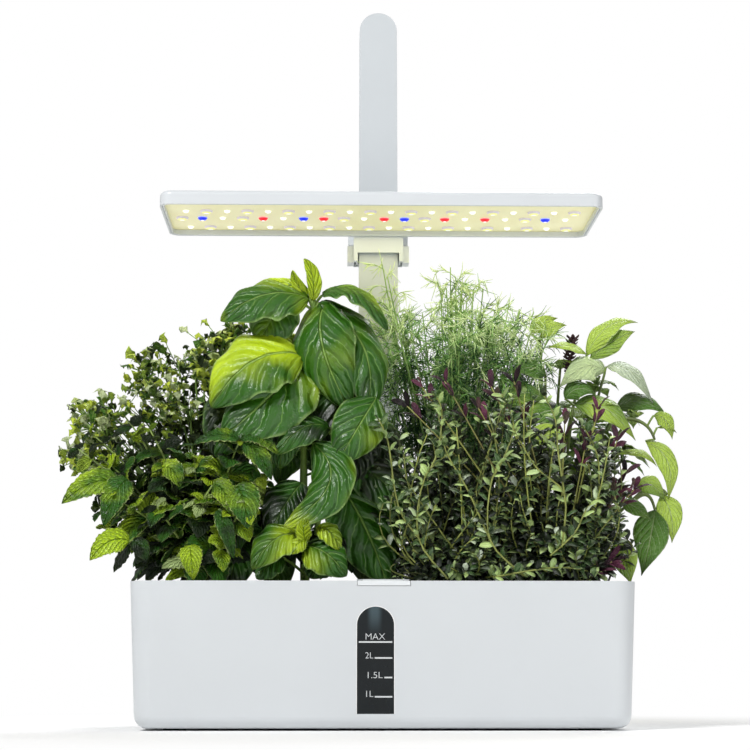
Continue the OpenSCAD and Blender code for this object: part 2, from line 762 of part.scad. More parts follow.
module impeller_shaft() color(steel_tone) at_pump_axis()
    rod_x([cover_x - well_l - shaft_seat + shaft_end_gap, cover_x + chamber_l + shaft_seat - shaft_end_gap],
          shaft_r);
module impeller_magnet() color([0.3, 0.3, 0.32]) at_pump_axis() difference() {
    rod_x([cover_x - well_l + rotor_clear, cover_x - well_l + rotor_clear + magnet_l], magnet_r);
    rod_x([cover_x - well_l, cover_x], shaft_r + fit);
}
module impeller() color([0.85, 0.85, 0.8]) at_pump_axis() {
    hub_start = cover_x - well_l + rotor_clear + magnet_l;
    hub_end = cover_x + chamber_l - rotor_clear;
    difference() {
        union() {
            rod_x([hub_start, hub_end], hub_r);
            for (k = [0:blades - 1]) rotate([360 / blades * k, 0, 0])
                span([cover_x + rotor_clear, hub_end], [0, impeller_r], [-blade_t / 2, blade_t / 2]);
        }
        rod_x([hub_start - cut, hub_end + cut], shaft_r + fit);
    }
}

// ---------- deck, pods and flap ----------

module grow_deck() color(white_abs) difference() {
    half_x = inner_half(tank_w / 2, ledge_z) - deck_clear;
    half_y = inner_half(tank_d / 2, ledge_z) - deck_clear;
    corner = inner_half(tank_corner_r, ledge_z) - deck_clear;
    skirt_in = ledge_w + deck_clear;
    skirt_t = 1.6;
    skirt_low = ledge_z - deck_skirt_h;
    union() {
        rounded_plate(2 * half_x, 2 * half_y, corner, [ledge_z, deck_top]);
        difference() {
            rounded_plate(2 * (half_x - skirt_in), 2 * (half_y - skirt_in), corner - skirt_in,
                          [ledge_z - deck_skirt_h, ledge_z + eps]);
            rounded_plate(2 * (half_x - skirt_in - skirt_t), 2 * (half_y - skirt_in - skirt_t),
                          corner - skirt_in - skirt_t, [ledge_z - deck_skirt_h - cut, ledge_z]);
        }
        for (p = pods) translate([p[0], p[1], 0]) drum(basket_r + pod_collar_w, [skirt_low, ledge_z + eps]);
        for (sx = [-1, 1]) translate([sx * (flap_w / 2 - flap_ear_w / 2), flap_hinge_y, 0]) {
            span([-flap_ear_w / 2, flap_ear_w / 2], [-flap_barrel_r, flap_barrel_r],
                 [deck_top - eps, flap_hinge_z]);
            translate([0, 0, flap_hinge_z]) rod_x([-flap_ear_w / 2, flap_ear_w / 2], flap_barrel_r);
        }
    }
    for (p = pods)
        translate([p[0], p[1], 0]) drum(basket_r + basket_clear, [skirt_low - cut, deck_top + cut]);
    span([-bridge_w / 2 - bridge_clear, bridge_w / 2 + bridge_clear], [bridge_front - bridge_clear, tank_d],
         [skirt_low - cut, deck_top + cut]);
    span([-flap_w / 2 + port_rim, flap_w / 2 - port_rim],
         [-half_y + skirt_in + skirt_t, flap_hinge_y - port_back_gap],
         [ledge_z - cut, deck_top + cut]);
    translate([0, flap_hinge_y, flap_hinge_z]) rod_x([-flap_w, flap_w], flap_pin_r + pin_press_fit);
}
module flap_pin() color(steel_tone)
    translate([0, flap_hinge_y, flap_hinge_z]) rod_x([-flap_w / 2, flap_w / 2], flap_pin_r);
module fill_flap() color(white_abs) {
    barrel_half = flap_w / 2 - flap_ear_w - flap_ear_clear;
    top = deck_top + flap_gap + flap_t;
    difference() {
        union() {
            // plate, lip outside the notch and barrel round the pin
            span([-flap_w / 2, flap_w / 2],
                 [flap_front + lean * flap_lip_h, flap_hinge_y - flap_barrel_r - flap_ear_gap],
                 [deck_top + flap_gap, top]);
            span([-barrel_half, barrel_half],
                 [flap_hinge_y - flap_barrel_r - flap_ear_gap - flap_overlap, flap_hinge_y],
                 [deck_top + flap_gap + flap_overlap, top]);
            span([-flap_w / 2, flap_w / 2], [flap_front + lean * flap_lip_h, -inner_half(tank_d / 2, rim_z)],
                 [rim_z - flap_lip_h, top]);
            translate([0, flap_hinge_y, flap_hinge_z]) rod_x([-barrel_half, barrel_half], flap_barrel_r);
        }
        translate([0, flap_hinge_y, flap_hinge_z]) rod_x([-flap_w, flap_w], flap_pin_r + fit);
    }
}

module basket(n) color(dark_glass) translate([pods[n][0], pods[n][1], deck_top]) difference() {
    rotate_extrude($fn = round_fn) polygon([
        [0, -basket_depth], [basket_foot_r, -basket_depth], [basket_r, 0], [basket_flange_r, 0],
        [basket_flange_r, basket_flange_t], [basket_r - basket_wall, basket_flange_t],
        [basket_foot_r - basket_wall, -basket_depth + basket_wall], [0, -basket_depth + basket_wall]]);
    for (a = [0:60:300]) rotate([0, 0, a])
        span([basket_hole_r + basket_slot_half, basket_r + cut], [-basket_slot_half, basket_slot_half],
             [basket_slot_low - basket_depth, -basket_slot_top]);
    drum(basket_hole_r, [-basket_depth - cut, basket_wall - basket_depth + cut]);
}
module grow_sponges() color([0.3, 0.26, 0.2]) for (p = pods) translate([p[0], p[1], 0])
    rotate_extrude($fn = round_fn) polygon([
        [0, deck_top - basket_depth + basket_wall],
        [basket_foot_r - basket_wall - sponge_gap, deck_top - basket_depth + basket_wall],
        [basket_r - basket_wall - 2 * sponge_gap, sponge_top], [0, sponge_top]]);

// ---------- herbs ----------

// A leaf mass: lobes, each the hull of round clumps [dx, dy, height over the deck, radius],
// kept inside its own cell, on a stem that stands on the pod's sponge. The clumps are given
// as shares of the plant's height, and the last one is where the stem ends.
module herb(n, height, lobes, x, y) color(leaf_green) {
    stem_lobe = lobes[len(lobes) - 1];
    stem_end = height * stem_lobe[len(stem_lobe) - 1][2];
    intersection() {
        for (lobe = lobes) hull() for (c = height * lobe)
            translate([pods[n][0] + c[0], pods[n][1] + c[1], deck_top + c[2]]) sphere(c[3], $fn = leaf_fn);
        span(x, y, [deck_top + basket_flange_t + leaf_lift, mast_top]);
    }
    translate([pods[n][0], pods[n][1], 0]) drum(stem_r, [sponge_top, deck_top + stem_end]);
}
half_gap = soft_gap / 2;
row_split = (pod_front_y + pod_rear_y) / 2;
cell_split = (pod_inner_x + pod_outer_x) / 2;
outside = tank_w;
front_rows = [herb_front, row_split - half_gap];
rear_rows = [row_split + half_gap, herb_back];

module mint() herb(0, mint_height,
    [[[-0.55, 0.02, 0.74, 0.25], [-0.43, -0.1, 0.36, 0.24], [-0.2, 0, 0.5, 0.22]],
     [[0.04, -0.08, 0.58, 0.25], [0.03, -0.1, 0.27, 0.2], [0, 0, 0.5, 0.2]]],
    [-outside, -cell_split - half_gap], front_rows);
module basil_front() herb(1, basil_front_height,
    [[[0.04, 0, 0.82, 0.18], [-0.11, -0.02, 0.62, 0.17], [0.05, 0, 0.5, 0.15]],
     [[0.11, 0.01, 0.5, 0.16], [-0.04, -0.04, 0.23, 0.17], [0, 0, 0.45, 0.15]]],
    [-cell_split + half_gap, -half_gap], front_rows);
module thyme() herb(2, thyme_height,
    [[[-0.15, -0.03, 0.68, 0.21], [0.18, -0.04, 0.59, 0.24], [0, -0.04, 0.79, 0.21], [0.07, -0.03, 0.32, 0.24],
      [0, 0, 0.49, 0.21]]],
    [half_gap, cell_split - half_gap], front_rows);
module purple_basil() herb(3, purple_basil_height,
    [[[0.27, -0.04, 0.48, 0.24], [0.36, 0.04, 0.74, 0.21], [0.1, 0, 0.4, 0.2]],
     [[-0.02, -0.05, 0.68, 0.26], [0, -0.05, 0.32, 0.21], [0, 0, 0.56, 0.19]]],
    [cell_split + half_gap, outside], front_rows);
module parsley() herb(4, parsley_height,
    [[[-0.39, -0.04, 0.6, 0.16], [-0.2, 0, 0.5, 0.14]],
     [[-0.14, 0.03, 0.8, 0.19], [0.02, 0.04, 0.65, 0.19], [0, 0, 0.25, 0.13], [0, 0, 0.62, 0.15]]],
    [-outside, -cell_split - half_gap], rear_rows);
module basil_rear() herb(5, basil_rear_height,
    [[[-0.05, 0, 0.82, 0.18], [0.09, 0, 0.77, 0.18], [0, 0, 0.26, 0.14], [0, 0, 0.62, 0.14]]],
    [-cell_split + half_gap, -half_gap], rear_rows);
module dill() herb(6, dill_height,
    [[[-0.1, -0.02, 0.83, 0.17], [0.1, -0.02, 0.78, 0.17], [0, 0, 0.3, 0.16], [0, 0, 0.65, 0.14]]],
    [half_gap, cell_split - half_gap], rear_rows);
module lemon_basil() herb(7, lemon_basil_height,
    [[[0.34, -0.08, 0.44, 0.12], [0.3, -0.08, 0.2, 0.12], [0.1, -0.02, 0.4, 0.14]],
     [[0.1, -0.03, 0.83, 0.17], [0.23, -0.05, 0.64, 0.17], [0, 0, 0.27, 0.14], [0, 0, 0.6, 0.14]]],
    [cell_split + half_gap, outside], rear_rows);

// ---------- mast ----------

module mast_outline() {
    polygon([[-mast_foot_w / 2, mast_low], [mast_foot_w / 2, mast_low],
             [mast_top_w / 2, mast_dome_z], [-mast_top_w / 2, mast_dome_z]]);
    translate([0, mast_dome_z]) circle(mast_top_w / 2, $fn = round_fn);
}
module mast_cover() color(white_abs) difference() {
    translate([0, mast_front + mast_cover_t, 0])
        rotate([90, 0, 0]) linear_extrude(mast_cover_t) mast_outline();
    span([-rail_web_w / 2 - rail_web_clear, rail_web_w / 2 + rail_web_clear],
         [mast_front + mast_wall, mast_front + mast_cover_t + cut], [mast_low - cut, rail_top]);
}
module mast_rail() color(steel_tone) difference() {
    union() {
        span([-rail_web_w / 2, rail_web_w / 2],
             [mast_front + mast_wall, mast_front + mast_cover_t + eps], [mast_low, rail_top]);
        span([-rail_flange_w / 2, rail_flange_w / 2],
             [mast_front + mast_cover_t, mast_back], [mast_low, rail_top]);
    }
    span([-rail_web_w / 2 + rail_wall, rail_web_w / 2 - rail_wall],
         [mast_front + mast_wall - cut, mast_front + mast_cover_t - rail_wall],
         [mast_low + rail_end_t, rail_top - rail_end_t]);
    both_sides() span([strip_x, strip_x + strip_w], [mast_back - strip_t, mast_back + cut],
                      [mast_low - cut, strip_top]);
}
module power_strips() color(brass_tone) both_sides()
    span([strip_x, strip_x + strip_w], [mast_back - strip_t, mast_back], [mast_low, strip_top]);

// ---------- lamp ----------

module at_lamp() translate([0, lamp_mid_y, 0]) children();
module housing_section() {
    axis_x = lamp_corner_r - lamp_edge_r;
    axis_z = lamp_top - lamp_edge_r;
    inner_r = lamp_edge_r - lamp_wall;
    polygon(concat(
        [[lamp_corner_r - lamp_wall, lamp_low], [lamp_corner_r, lamp_low]],
        arc(axis_x, axis_z, lamp_edge_r, 0, 90),
        [[0, lamp_top], [0, roof_low]],
        [[axis_x, roof_low], [lamp_corner_r - lamp_wall, min(axis_z, roof_low - inner_r / 2)]]));
}
module bezel_section() {
    out_x = lamp_corner_r - lamp_wall - bezel_clear;
    span_2d([out_x - bezel_t, out_x], [lamp_low, board_low]);
}
module board_boss_places() for (sx = [-1, 1], sy = [-1, 1])
    translate([sx * (lamp_w / 2 - board_boss_inset_x), sy * (lamp_d / 2 - board_boss_inset_y), 0]) children();
module control_boss_places() for (sx = [-1, 1], sy = [-1, 1])
    translate([sx * (control_half_x - control_boss_inset_x),
               button_y + sy * (control_half_y - control_boss_inset_y), 0]) children();
module tongue_screw_places()
    for (sx = [-1, 1]) translate([sx * tongue_screw_x, tongue_screw_y, lamp_top]) children();
module button_places(side) translate([side * button_x, button_y, 0]) children();

module lamp_housing() color(white_abs) difference() {
    union() {
        at_lamp() round_the_rim(lamp_w, lamp_d, lamp_corner_r) housing_section();
        at_lamp() span([-lamp_w / 2 + lamp_corner_r, lamp_w / 2 - lamp_corner_r],
            [-lamp_d / 2 + lamp_corner_r, lamp_d / 2 - lamp_corner_r], [roof_low, lamp_top]);
        at_lamp() board_boss_places() drum(board_boss_r, [board_top, roof_low + eps]);
        control_boss_places() drum(control_boss_r, [control_top, roof_low + eps]);
    }
    for (s = [-1, 1]) button_places(s) drum(button_r + button_clear, [roof_low - cut, lamp_top + cut]);
    span([-tongue_half - tongue_clear, tongue_half + tongue_clear],
         [lamp_back - lamp_wall - cut, lamp_back + cut], [board_top + tongue_clear, roof_low]);
    tongue_screw_places()
        screw_hole(slider_screw_r, slider_screw_head_r, tongue_screw_head_h, tongue_screw_l + 0.2);
    control_boss_places() drum(control_screw_r + screw_fit, [control_top - cut, roof_low + 0.6]);
}
module lamp_bezel() color(white_abs) at_lamp() round_the_rim(lamp_w, lamp_d, lamp_corner_r) bezel_section();
module led_board() color([0.93, 0.93, 0.86]) at_lamp() rounded_plate(
    lamp_w - 2 * lamp_wall - 2 * board_clear, lamp_d - 2 * lamp_wall - 2 * board_clear,
    lamp_corner_r - lamp_wall - board_clear, [board_low, board_top]);

// One LED: a flat lens against the plate and a smaller core below it
module led(r, core_r) {
    translate([0, 0, board_low - led_base_t]) cylinder(h = led_base_t, r = r, $fn = led_fn);
    translate([0, 0, board_low - led_base_t - led_core_t])
        cylinder(h = led_core_t + eps, r = core_r, $fn = led_fn);
}
module led_place(col, row, shift)
    at_lamp() translate([(col - (led_cols - 1) / 2) * led_pitch + shift, row, 0]) children();
// Plain rows alternate white and warm; coloured rows follow colour_row
module leds_of(kind, r, core_r) {
    for (row = led_plain_rows, col = [0:led_cols - 1])
        if ((col % 2 == 0 ? "w" : "a") == kind) led_place(col, row, 0) led(r, core_r);
    for (row = led_colour_rows, col = [0:led_cols - 1])
        if (colour_row[col] == kind) led_place(col, row, led_colour_shift) led(r, core_r);
}
module leds_white() color("white") leds_of("w", led_white_r, led_white_core_r);
module leds_warm() color([0.95, 0.93, 0.7]) leds_of("a", led_warm_r, led_warm_core_r);
module leds_coloured() color("red") {
    leds_of("r", led_colour_r, led_colour_core_r);
    leds_of("b", led_colour_r, led_colour_core_r);
}
module control_board() color([0.1, 0.35, 0.2]) difference() {
    span([-control_half_x, control_half_x], [button_y - control_half_y, button_y + control_half_y],
         [control_top - control_t, control_top]);
    control_boss_places()
        drum(control_screw_r + screw_fit, [control_top - control_t - cut, control_top + cut]);
}
module lamp_screws() color(steel_tone) control_boss_places() {
    drum(control_screw_r, [control_top - control_t, roof_low]);
    drum(control_screw_head_r, [control_top - control_t - control_screw_head_h, control_top - control_t]);
}
module press_button(side) color([0.8, 0.82, 0.83]) button_places(side) {
    drum(button_r + button_flange_w, [roof_low - button_flange_t, roof_low]);
    drum(button_r, [roof_low - eps, lamp_top + button_proud]);
}

// ---------- slider ----------

module slider_saddle() color(white_abs) difference() {
    union() {
        span([-cheek_out, cheek_out], [lamp_back, lamp_back + saddle_front_t], [saddle_low, lamp_top]);
        both_sides() {
            span([saddle_half, cheek_out], [lamp_back, cheek_short_back], [cheek_low, cheek_split_z]);
            span([saddle_half, cheek_out], [lamp_back, plate_front], [cheek_split_z - eps, lamp_top]);
            span([cheek_out - eps, cheek_out + ear_w], [plate_front - ear_d, plate_front],
                 [ear_low, ear_low + ear_h]);
        }
        span([-tongue_half, tongue_half], [lamp_back - tongue_l, lamp_back + 1],
             [board_top + tongue_clear, roof_low - tongue_clear / 2]);
    }
    both_sides() {
        // pocket in the cheek for the release button
        span([release_floor, cheek_out + cut], [release_front - pocket_clear, cheek_short_back + cut],
             [cheek_low - cut, release_top + pocket_clear]);
        ear_screw_hole();
    }
    tongue_screw_places() drum(slider_screw_r + screw_fit, [-tongue_screw_l - 0.2, 0]);
}
module at_ear_screw()
    translate([cheek_out + ear_w / 2, plate_front + slider_plate_t, ear_low + ear_h / 2])
        rotate([-90, 0, 0]) children();
module ear_screw_hole()
    at_ear_screw() screw_hole(slider_screw_r, ear_screw_head_r, ear_screw_head_h, ear_screw_l);
module slider_plate() color(white_abs) difference() {
    union() {
        span([-cheek_out, cheek_out], [plate_front, plate_front + slider_plate_t], [cheek_low, lamp_top]);
        both_sides() {
            span([cheek_out - eps, cheek_out + ear_w], [plate_front, plate_front + slider_plate_t],
                 [ear_low, ear_low + ear_h]);
            span([rail_flange_w / 2 - guide_w, rail_flange_w / 2],
                 [mast_back + guide_clear, plate_front + eps],
                 [cheek_split_z + guide_inset, lamp_top - guide_inset]);
        }
    }
    both_sides() ear_screw_hole();
}
module slider_screws() color(steel_tone) {
    both_sides() at_ear_screw() screw(slider_screw_r, ear_screw_head_r, ear_screw_head_h, ear_screw_l);
    tongue_screw_places() screw(slider_screw_r, slider_screw_head_r, tongue_screw_head_h, tongue_screw_l);
}
module brush_contacts() color(brass_tone) both_sides()
    span([strip_x + brush_inset, strip_x + strip_w - brush_inset], [mast_back + fit, plate_front],
         [cheek_split_z + brush_low, cheek_split_z + brush_low + brush_h]);

// A release button for the right side: a pad outside the cheek and an arm that
// reaches behind the mast to a brake shoe at the rail's left edge
module release(arm_low) color(white_abs) difference() {
    union() {
        span([release_in, release_out], [release_front, arm_back], [cheek_low, release_top]);
        span([-rail_flange_w / 2 - shoe_gap - shoe_w, release_in + eps], [arm_front, arm_back],
             [arm_low, arm_low + release_arm_h]);
        span([-rail_flange_w / 2 - shoe_gap - shoe_w, -rail_flange_w / 2 - shoe_gap],
             [mast_front + mast_cover_t + shoe_front_gap, arm_front + eps],
             [arm_low, arm_low + release_arm_h]);
    }
    translate([0, spring_y, spring_z]) rod_x([release_in - cut, spring_seat_x], spring_r + spring_clear);
}
// A coil spring from the pocket's floor to the seat inside the button
module release_spring() {
    r = spring_r - spring_wire_r;
    last = spring_turns * spring_steps;
    low_x = release_floor + spring_wire_r + fit;
    high_x = spring_seat_x - spring_wire_r - fit;
    tube_along([for (i = [0:last]) let (a = 360 * i / spring_steps)
        [low_x + (high_x - low_x) * i / last, spring_y + r * cos(a), spring_z + r * sin(a)]],
        spring_wire_r, spring_wire_sides);
}
module spring_right() color(steel_tone) release_spring();
module spring_left() color(steel_tone) mirror([1, 0, 0]) release_spring();
module release_right() release(arm_low_right);
module release_left() mirror([1, 0, 0]) release(arm_low_left);

tank_shell();
window_panel();
window_gasket();
level_marks();
rubber_feet();
mast_socket();
socket_screws();
dc_jack();
contact_block();
supply_lead();
pump_body();
pump_cover();
pump_grille();
suction_cups();
pump_riser();
pump_lead();
impeller();
impeller_magnet();
impeller_shaft();
grow_deck();
basket(0);  // basket_1
basket(1);  // basket_2
basket(2);  // basket_3
basket(3);  // basket_4
basket(4);  // basket_5
basket(5);  // basket_6
basket(6);  // basket_7
basket(7);  // basket_8
grow_sponges();
fill_flap();
flap_pin();
parsley();
mint();
basil_front();
basil_rear();
dill();
thyme();
purple_basil();
lemon_basil();
mast_cover();
mast_rail();
power_strips();
lamp_housing();
lamp_bezel();
led_board();
leds_white();
leds_warm();
leds_coloured();
control_board();
lamp_screws();
press_button(-1);  // power_button
press_button(1);  // mode_button
slider_saddle();
slider_plate();
slider_screws();
brush_contacts();
release_left();
release_right();
spring_left();
spring_right();
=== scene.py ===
"""A countertop hydroponic garden: finishes for its moulded pieces, and its herbs as modelled foliage.

The frame is in metres. Places and sizes below are in millimetres, as on the construction, and MM turns
them into metres. Every new piece is a surface worked out with numpy as a function of two parameters.
"""

import math

import bpy
import numpy as np
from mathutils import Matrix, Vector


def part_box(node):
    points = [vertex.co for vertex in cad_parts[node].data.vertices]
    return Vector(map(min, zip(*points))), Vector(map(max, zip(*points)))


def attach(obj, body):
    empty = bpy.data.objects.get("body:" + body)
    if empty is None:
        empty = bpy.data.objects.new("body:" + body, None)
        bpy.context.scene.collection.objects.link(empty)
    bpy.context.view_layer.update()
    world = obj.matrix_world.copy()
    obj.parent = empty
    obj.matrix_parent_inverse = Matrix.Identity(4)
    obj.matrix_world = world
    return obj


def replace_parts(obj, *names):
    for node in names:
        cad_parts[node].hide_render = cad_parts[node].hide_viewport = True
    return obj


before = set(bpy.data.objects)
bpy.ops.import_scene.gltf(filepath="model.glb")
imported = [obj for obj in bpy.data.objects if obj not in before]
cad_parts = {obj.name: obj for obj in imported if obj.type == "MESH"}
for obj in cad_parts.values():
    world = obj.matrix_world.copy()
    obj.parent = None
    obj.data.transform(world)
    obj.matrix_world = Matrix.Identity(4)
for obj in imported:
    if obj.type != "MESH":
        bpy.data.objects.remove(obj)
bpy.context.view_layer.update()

MM = 0.001


# ---------------------------------------------------------------------------------------------------
# Materials
# ---------------------------------------------------------------------------------------------------

class Value:
    """A number that varies over a surface: a socket, with arithmetic that adds Math nodes."""

    def __init__(self, tree, socket):
        self.tree = tree
        self.socket = socket

    def math(self, operation, *others):
        """This value as the first input of one Math node, and numbers or values as the next ones."""
        node = self.tree.nodes.new("ShaderNodeMath")
        node.operation = operation
        for place, item in enumerate((self,) + others):
            if isinstance(item, Value):
                self.tree.links.new(item.socket, node.inputs[place])
            else:
                node.inputs[place].default_value = item
        return Value(self.tree, node.outputs[0])

    def __add__(self, other):
        return self.math("ADD", other)

    def __mul__(self, other):
        return self.math("MULTIPLY", other)

    def __sub__(self, other):
        return self.math("SUBTRACT", other)

    def __rsub__(self, other):
        return self.math("MULTIPLY", -1.0).math("ADD", other)

    __radd__ = __add__
    __rmul__ = __mul__

    def between(self, low, high):
        """0 below low, 1 above high and a smooth step from one to the other; low may be the larger."""
        node = self.tree.nodes.new("ShaderNodeMapRange")
        node.interpolation_type = "SMOOTHSTEP"
        self.tree.links.new(self.socket, node.inputs[0])
        node.inputs[1].default_value = low
        node.inputs[2].default_value = high
        return Value(self.tree, node.outputs[0])

    def clipped(self):
        """This value, held between 0 and 1."""
        return self.math("MAXIMUM", 0.0).math("MINIMUM", 1.0)


def paint(red, green, blue):
    """A colour given as it is seen, 0 to 255 a channel, as the linear colour that Blender takes."""
    seen = np.array((red, green, blue)) / 255
    linear = np.where(seen <= 0.04045, seen / 12.92, ((seen + 0.055) / 1.055) ** 2.4)
    return (*(float(channel) for channel in linear), 1.0)


def times(colour, share):
    """A linear colour, brighter or darker by that share and at most white."""
    return (*(min(1.0, channel * share) for channel in colour[:3]), 1.0)


class Finish:
    """A procedural material: one Principled shader and the nodes that vary it over a piece."""

    def __init__(self, name, **fixed):
        self.material = bpy.data.materials.new(name)
        self.material.use_nodes = True
        self.tree = self.material.node_tree
        self.shader = self.tree.nodes["Principled BSDF"]
        for label, setting in fixed.items():
            self.shader.inputs[label.replace("_", " ").title().replace("Ior", "IOR")].default_value = setting
        self.place = self.node("ShaderNodeTexCoord").outputs["Object"]

    def node(self, kind, settings=None, inputs=None):
        """A node of that type, with its settings made first and then its sockets filled or linked."""
        made = self.tree.nodes.new(kind)
        for label, setting in (settings or {}).items():
            setattr(made, label, setting)
        for label, item in (inputs or {}).items():
            source = item.socket if isinstance(item, Value) else item
            if isinstance(source, bpy.types.NodeSocket):
                self.tree.links.new(source, made.inputs[label])
            else:
                made.inputs[label].default_value = source
        return made

    def noise(self, scale, detail=2.0, place=None):
        """Cloudy noise from 0 to 1; scale is in features per metre unless another place is given."""
        made = self.node("ShaderNodeTexNoise", {}, {
            "Vector": place or self.place, "Scale": scale, "Detail": detail})
        return Value(self.tree, made.outputs[0])

    def cells(self, scale, feature="F1"):
        """Distance to the nearest of scattered points, or to the edge between two of them."""
        made = self.node("ShaderNodeTexVoronoi", {"feature": feature}, {"Vector": self.place, "Scale": scale})
        return Value(self.tree, made.outputs[0])

    def attribute(self, name):
        """A number kept on the mesh."""
        return Value(self.tree, self.node("ShaderNodeAttribute", {"attribute_name": name}).outputs["Fac"])

    def axes(self, vector=None):
        """The three parts of a vector, as values."""
        split = self.node("ShaderNodeSeparateXYZ", {}, {0: vector or self.place})
        return [Value(self.tree, output) for output in split.outputs]

    def blend(self, share, first, second):
        """The first colour where share is 0 and the second where it is 1."""
        made = self.node("ShaderNodeMix", {"data_type": "RGBA"}, {0: share, 6: first, 7: second})
        return made.outputs[2]

    def feed(self, label, source):
        """Links a value or a colour to one of the shader's sockets."""
        socket = source.socket if isinstance(source, Value) else source
        self.tree.links.new(socket, self.shader.inputs[label])

    def cover(self, share, shader):
        """Mixes another shader over this one by share, as the material's surface."""
        mixed = self.node("ShaderNodeMixShader", {}, {
            0: share, 1: self.shader.outputs[0], 2: shader.outputs[0]})
        self.tree.links.new(mixed.outputs[0], self.tree.nodes["Material Output"].inputs[0])

    def relief(self, height, depth):
        """Bump from a value; depth is in metres."""
        made = self.node("ShaderNodeBump", {}, {"Strength": 1.0, "Distance": depth, "Height": height})
        self.tree.links.new(made.outputs[0], self.shader.inputs["Normal"])


def moulded(name, colour, rough, grain=2600, depth=0.000012, shift=0.04, **fixed):
    """Moulded plastic: fine spark texture, slow waves of gloss and a slight drift of colour."""
    finish = Finish(name, **fixed)
    fine = finish.noise(grain, 3.0)
    slow = finish.noise(14, 3.0)
    finish.feed("Base Color", finish.blend(slow.between(0.3, 0.7), times(colour, 1 - shift),
                                           times(colour, 1 + shift)))
    finish.feed("Roughness", rough - 0.05 + slow * 0.06 + fine * 0.04)
    finish.relief(fine, depth)
    return finish.material


def white_shell():
    """Satin white plastic of the tank, deck, lamp and mast."""
    return moulded("white_shell", paint(213, 217, 220), 0.30, shift=0.012, ior=1.46)


WINDOW_MIDDLE = -5.0
WINDOW_ARCH_Z = 62.1                  # centre of the round top
WINDOW_HIGHLIGHT_RING = 10.95                    # from the middle line out to the painted white highlight round the edge
WINDOW_HIGHLIGHT_FADE = 0.25
# The painted reflection down the window: its middle line, how far it reaches and where it fades in.
SHEEN_MIDDLE = -5.5
SHEEN_EDGE = 5.2                      # from its middle out to where it ends
SHEEN_FULL = 1.2                      # and to where it is full
SHEEN_FOOT = 54.0                     # height at which it starts
SHEEN_TOP = 72.0                      # height from which it is full


def dark_window():
    """Smoked clear plastic, nearly black: its own smoke together with painted shade of the tank's dark
    inside.

    An upright painted reflection runs down it, strongest on its middle line and at the top, and a painted
    white highlight rings its edge. That ring lies farther than WINDOW_HIGHLIGHT_RING from the middle line, or
    above the arch's centre from that centre.
    """
    finish = Finish("dark_window", roughness=0.2, coat_weight=0.0, ior=1.36)
    x, _, height = finish.axes()
    slow = finish.noise(60, 2.0)
    middle = (x - SHEEN_MIDDLE * MM).math("ABSOLUTE").between(SHEEN_EDGE * MM, SHEEN_FULL * MM)
    # painted reflection: lighter down the middle line and towards the top
    painted_window_sheen = height.between(SHEEN_FOOT * MM, SHEEN_TOP * MM) * (0.03 + middle * 0.9) + slow * 0.06
    # dark smoke with painted shade of the tank's inside behind it, lighter where the painted reflection lies
    smoke_shade_and_sheen = finish.blend(painted_window_sheen, paint(12, 17, 20), paint(70, 86, 92))
    # painted highlight: a white ring round the window's edge
    above = (height - WINDOW_ARCH_Z * MM).math("MAXIMUM", 0.0)
    aside = x - WINDOW_MIDDLE * MM
    out = (aside * aside + above * above).math("SQRT")
    painted_rim_highlight = out.between(WINDOW_HIGHLIGHT_RING * MM, (WINDOW_HIGHLIGHT_RING + WINDOW_HIGHLIGHT_FADE) * MM)
    finish.feed("Base Color", finish.blend(painted_rim_highlight, smoke_shade_and_sheen, paint(255, 255, 255)))
    finish.relief(finish.noise(900, 2.0), 0.000006)
    return finish.material


def print_white():
    """Pad-printed pale grey ink, slightly uneven."""
    finish = Finish("print_white", roughness=0.6)
    patchy = finish.noise(1800, 3.0)
    finish.feed("Base Color", finish.blend(patchy, paint(196, 200, 202), paint(232, 235, 236)))
    finish.relief(patchy, 0.00001)
    return finish.material


def rubber(name, colour):
    """Matt rubber with a fine grain."""
    return moulded(name, colour, 0.72, grain=1800, depth=0.00003, shift=0.12)


def ribbed_metal(name, colour, rough, scale):
    """Drawn or turned metal: fine lines along Z, soft clouds of tarnish."""
    finish = Finish(name, metallic=1.0)
    x, y, z = finish.axes()
    lines = finish.node("ShaderNodeCombineXYZ", {}, {0: x * 900.0, 1: y * 900.0, 2: z * 12.0}).outputs[0]
    drawn = finish.noise(1.0, 2.0, place=lines)
    clouds = finish.noise(scale, 3.0)
    finish.feed("Base Color", finish.blend(clouds.between(0.35, 0.7), times(colour, 0.82), colour))
    finish.feed("Roughness", rough + drawn * 0.12)
    finish.relief(drawn, 0.00001)
    return finish.material


def foam():
    """Grow sponge: dark brown open cells."""
    finish = Finish("grow_sponge", roughness=0.95)
    pores = finish.cells(900)
    damp = finish.noise(120, 4.0)
    # the open cells are darker at their middles: painted shade in the pores, over the sponge's dark brown;
    # damp clouds are its own
    finish.feed("Base Color", finish.blend(pores.between(0.1, 0.6) * (0.6 + damp * 0.5), paint(24, 18, 13),
                                           paint(94, 74, 52)))
    finish.relief(pores, 0.0005)
    return finish.material


def led_plate():
    """White-enamelled LED plate, painted a warm cream and made to glow as painted light from the LEDs around
    it, with faint solder-mask specks.
    """
    # the emission is painted light: the plate is no lamp, it glows as if lit by the LEDs round it
    finish = Finish("led_plate", roughness=0.45, emission_strength=0.28)
    specks = finish.cells(340)
    glow = finish.noise(30, 2.0)
    # cream base colour: painted warm light from the LEDs on the white enamel; the specks are its own
    finish.feed("Base Color", finish.blend(specks.between(0.08, 0.16), paint(206, 200, 158),
                                           paint(222, 217, 176)))
    finish.feed("Emission Color", finish.blend(glow.between(0.3, 0.7), paint(240, 232, 172),
                                               paint(250, 244, 196)))
    finish.relief(specks, 0.00002)
    return finish.material


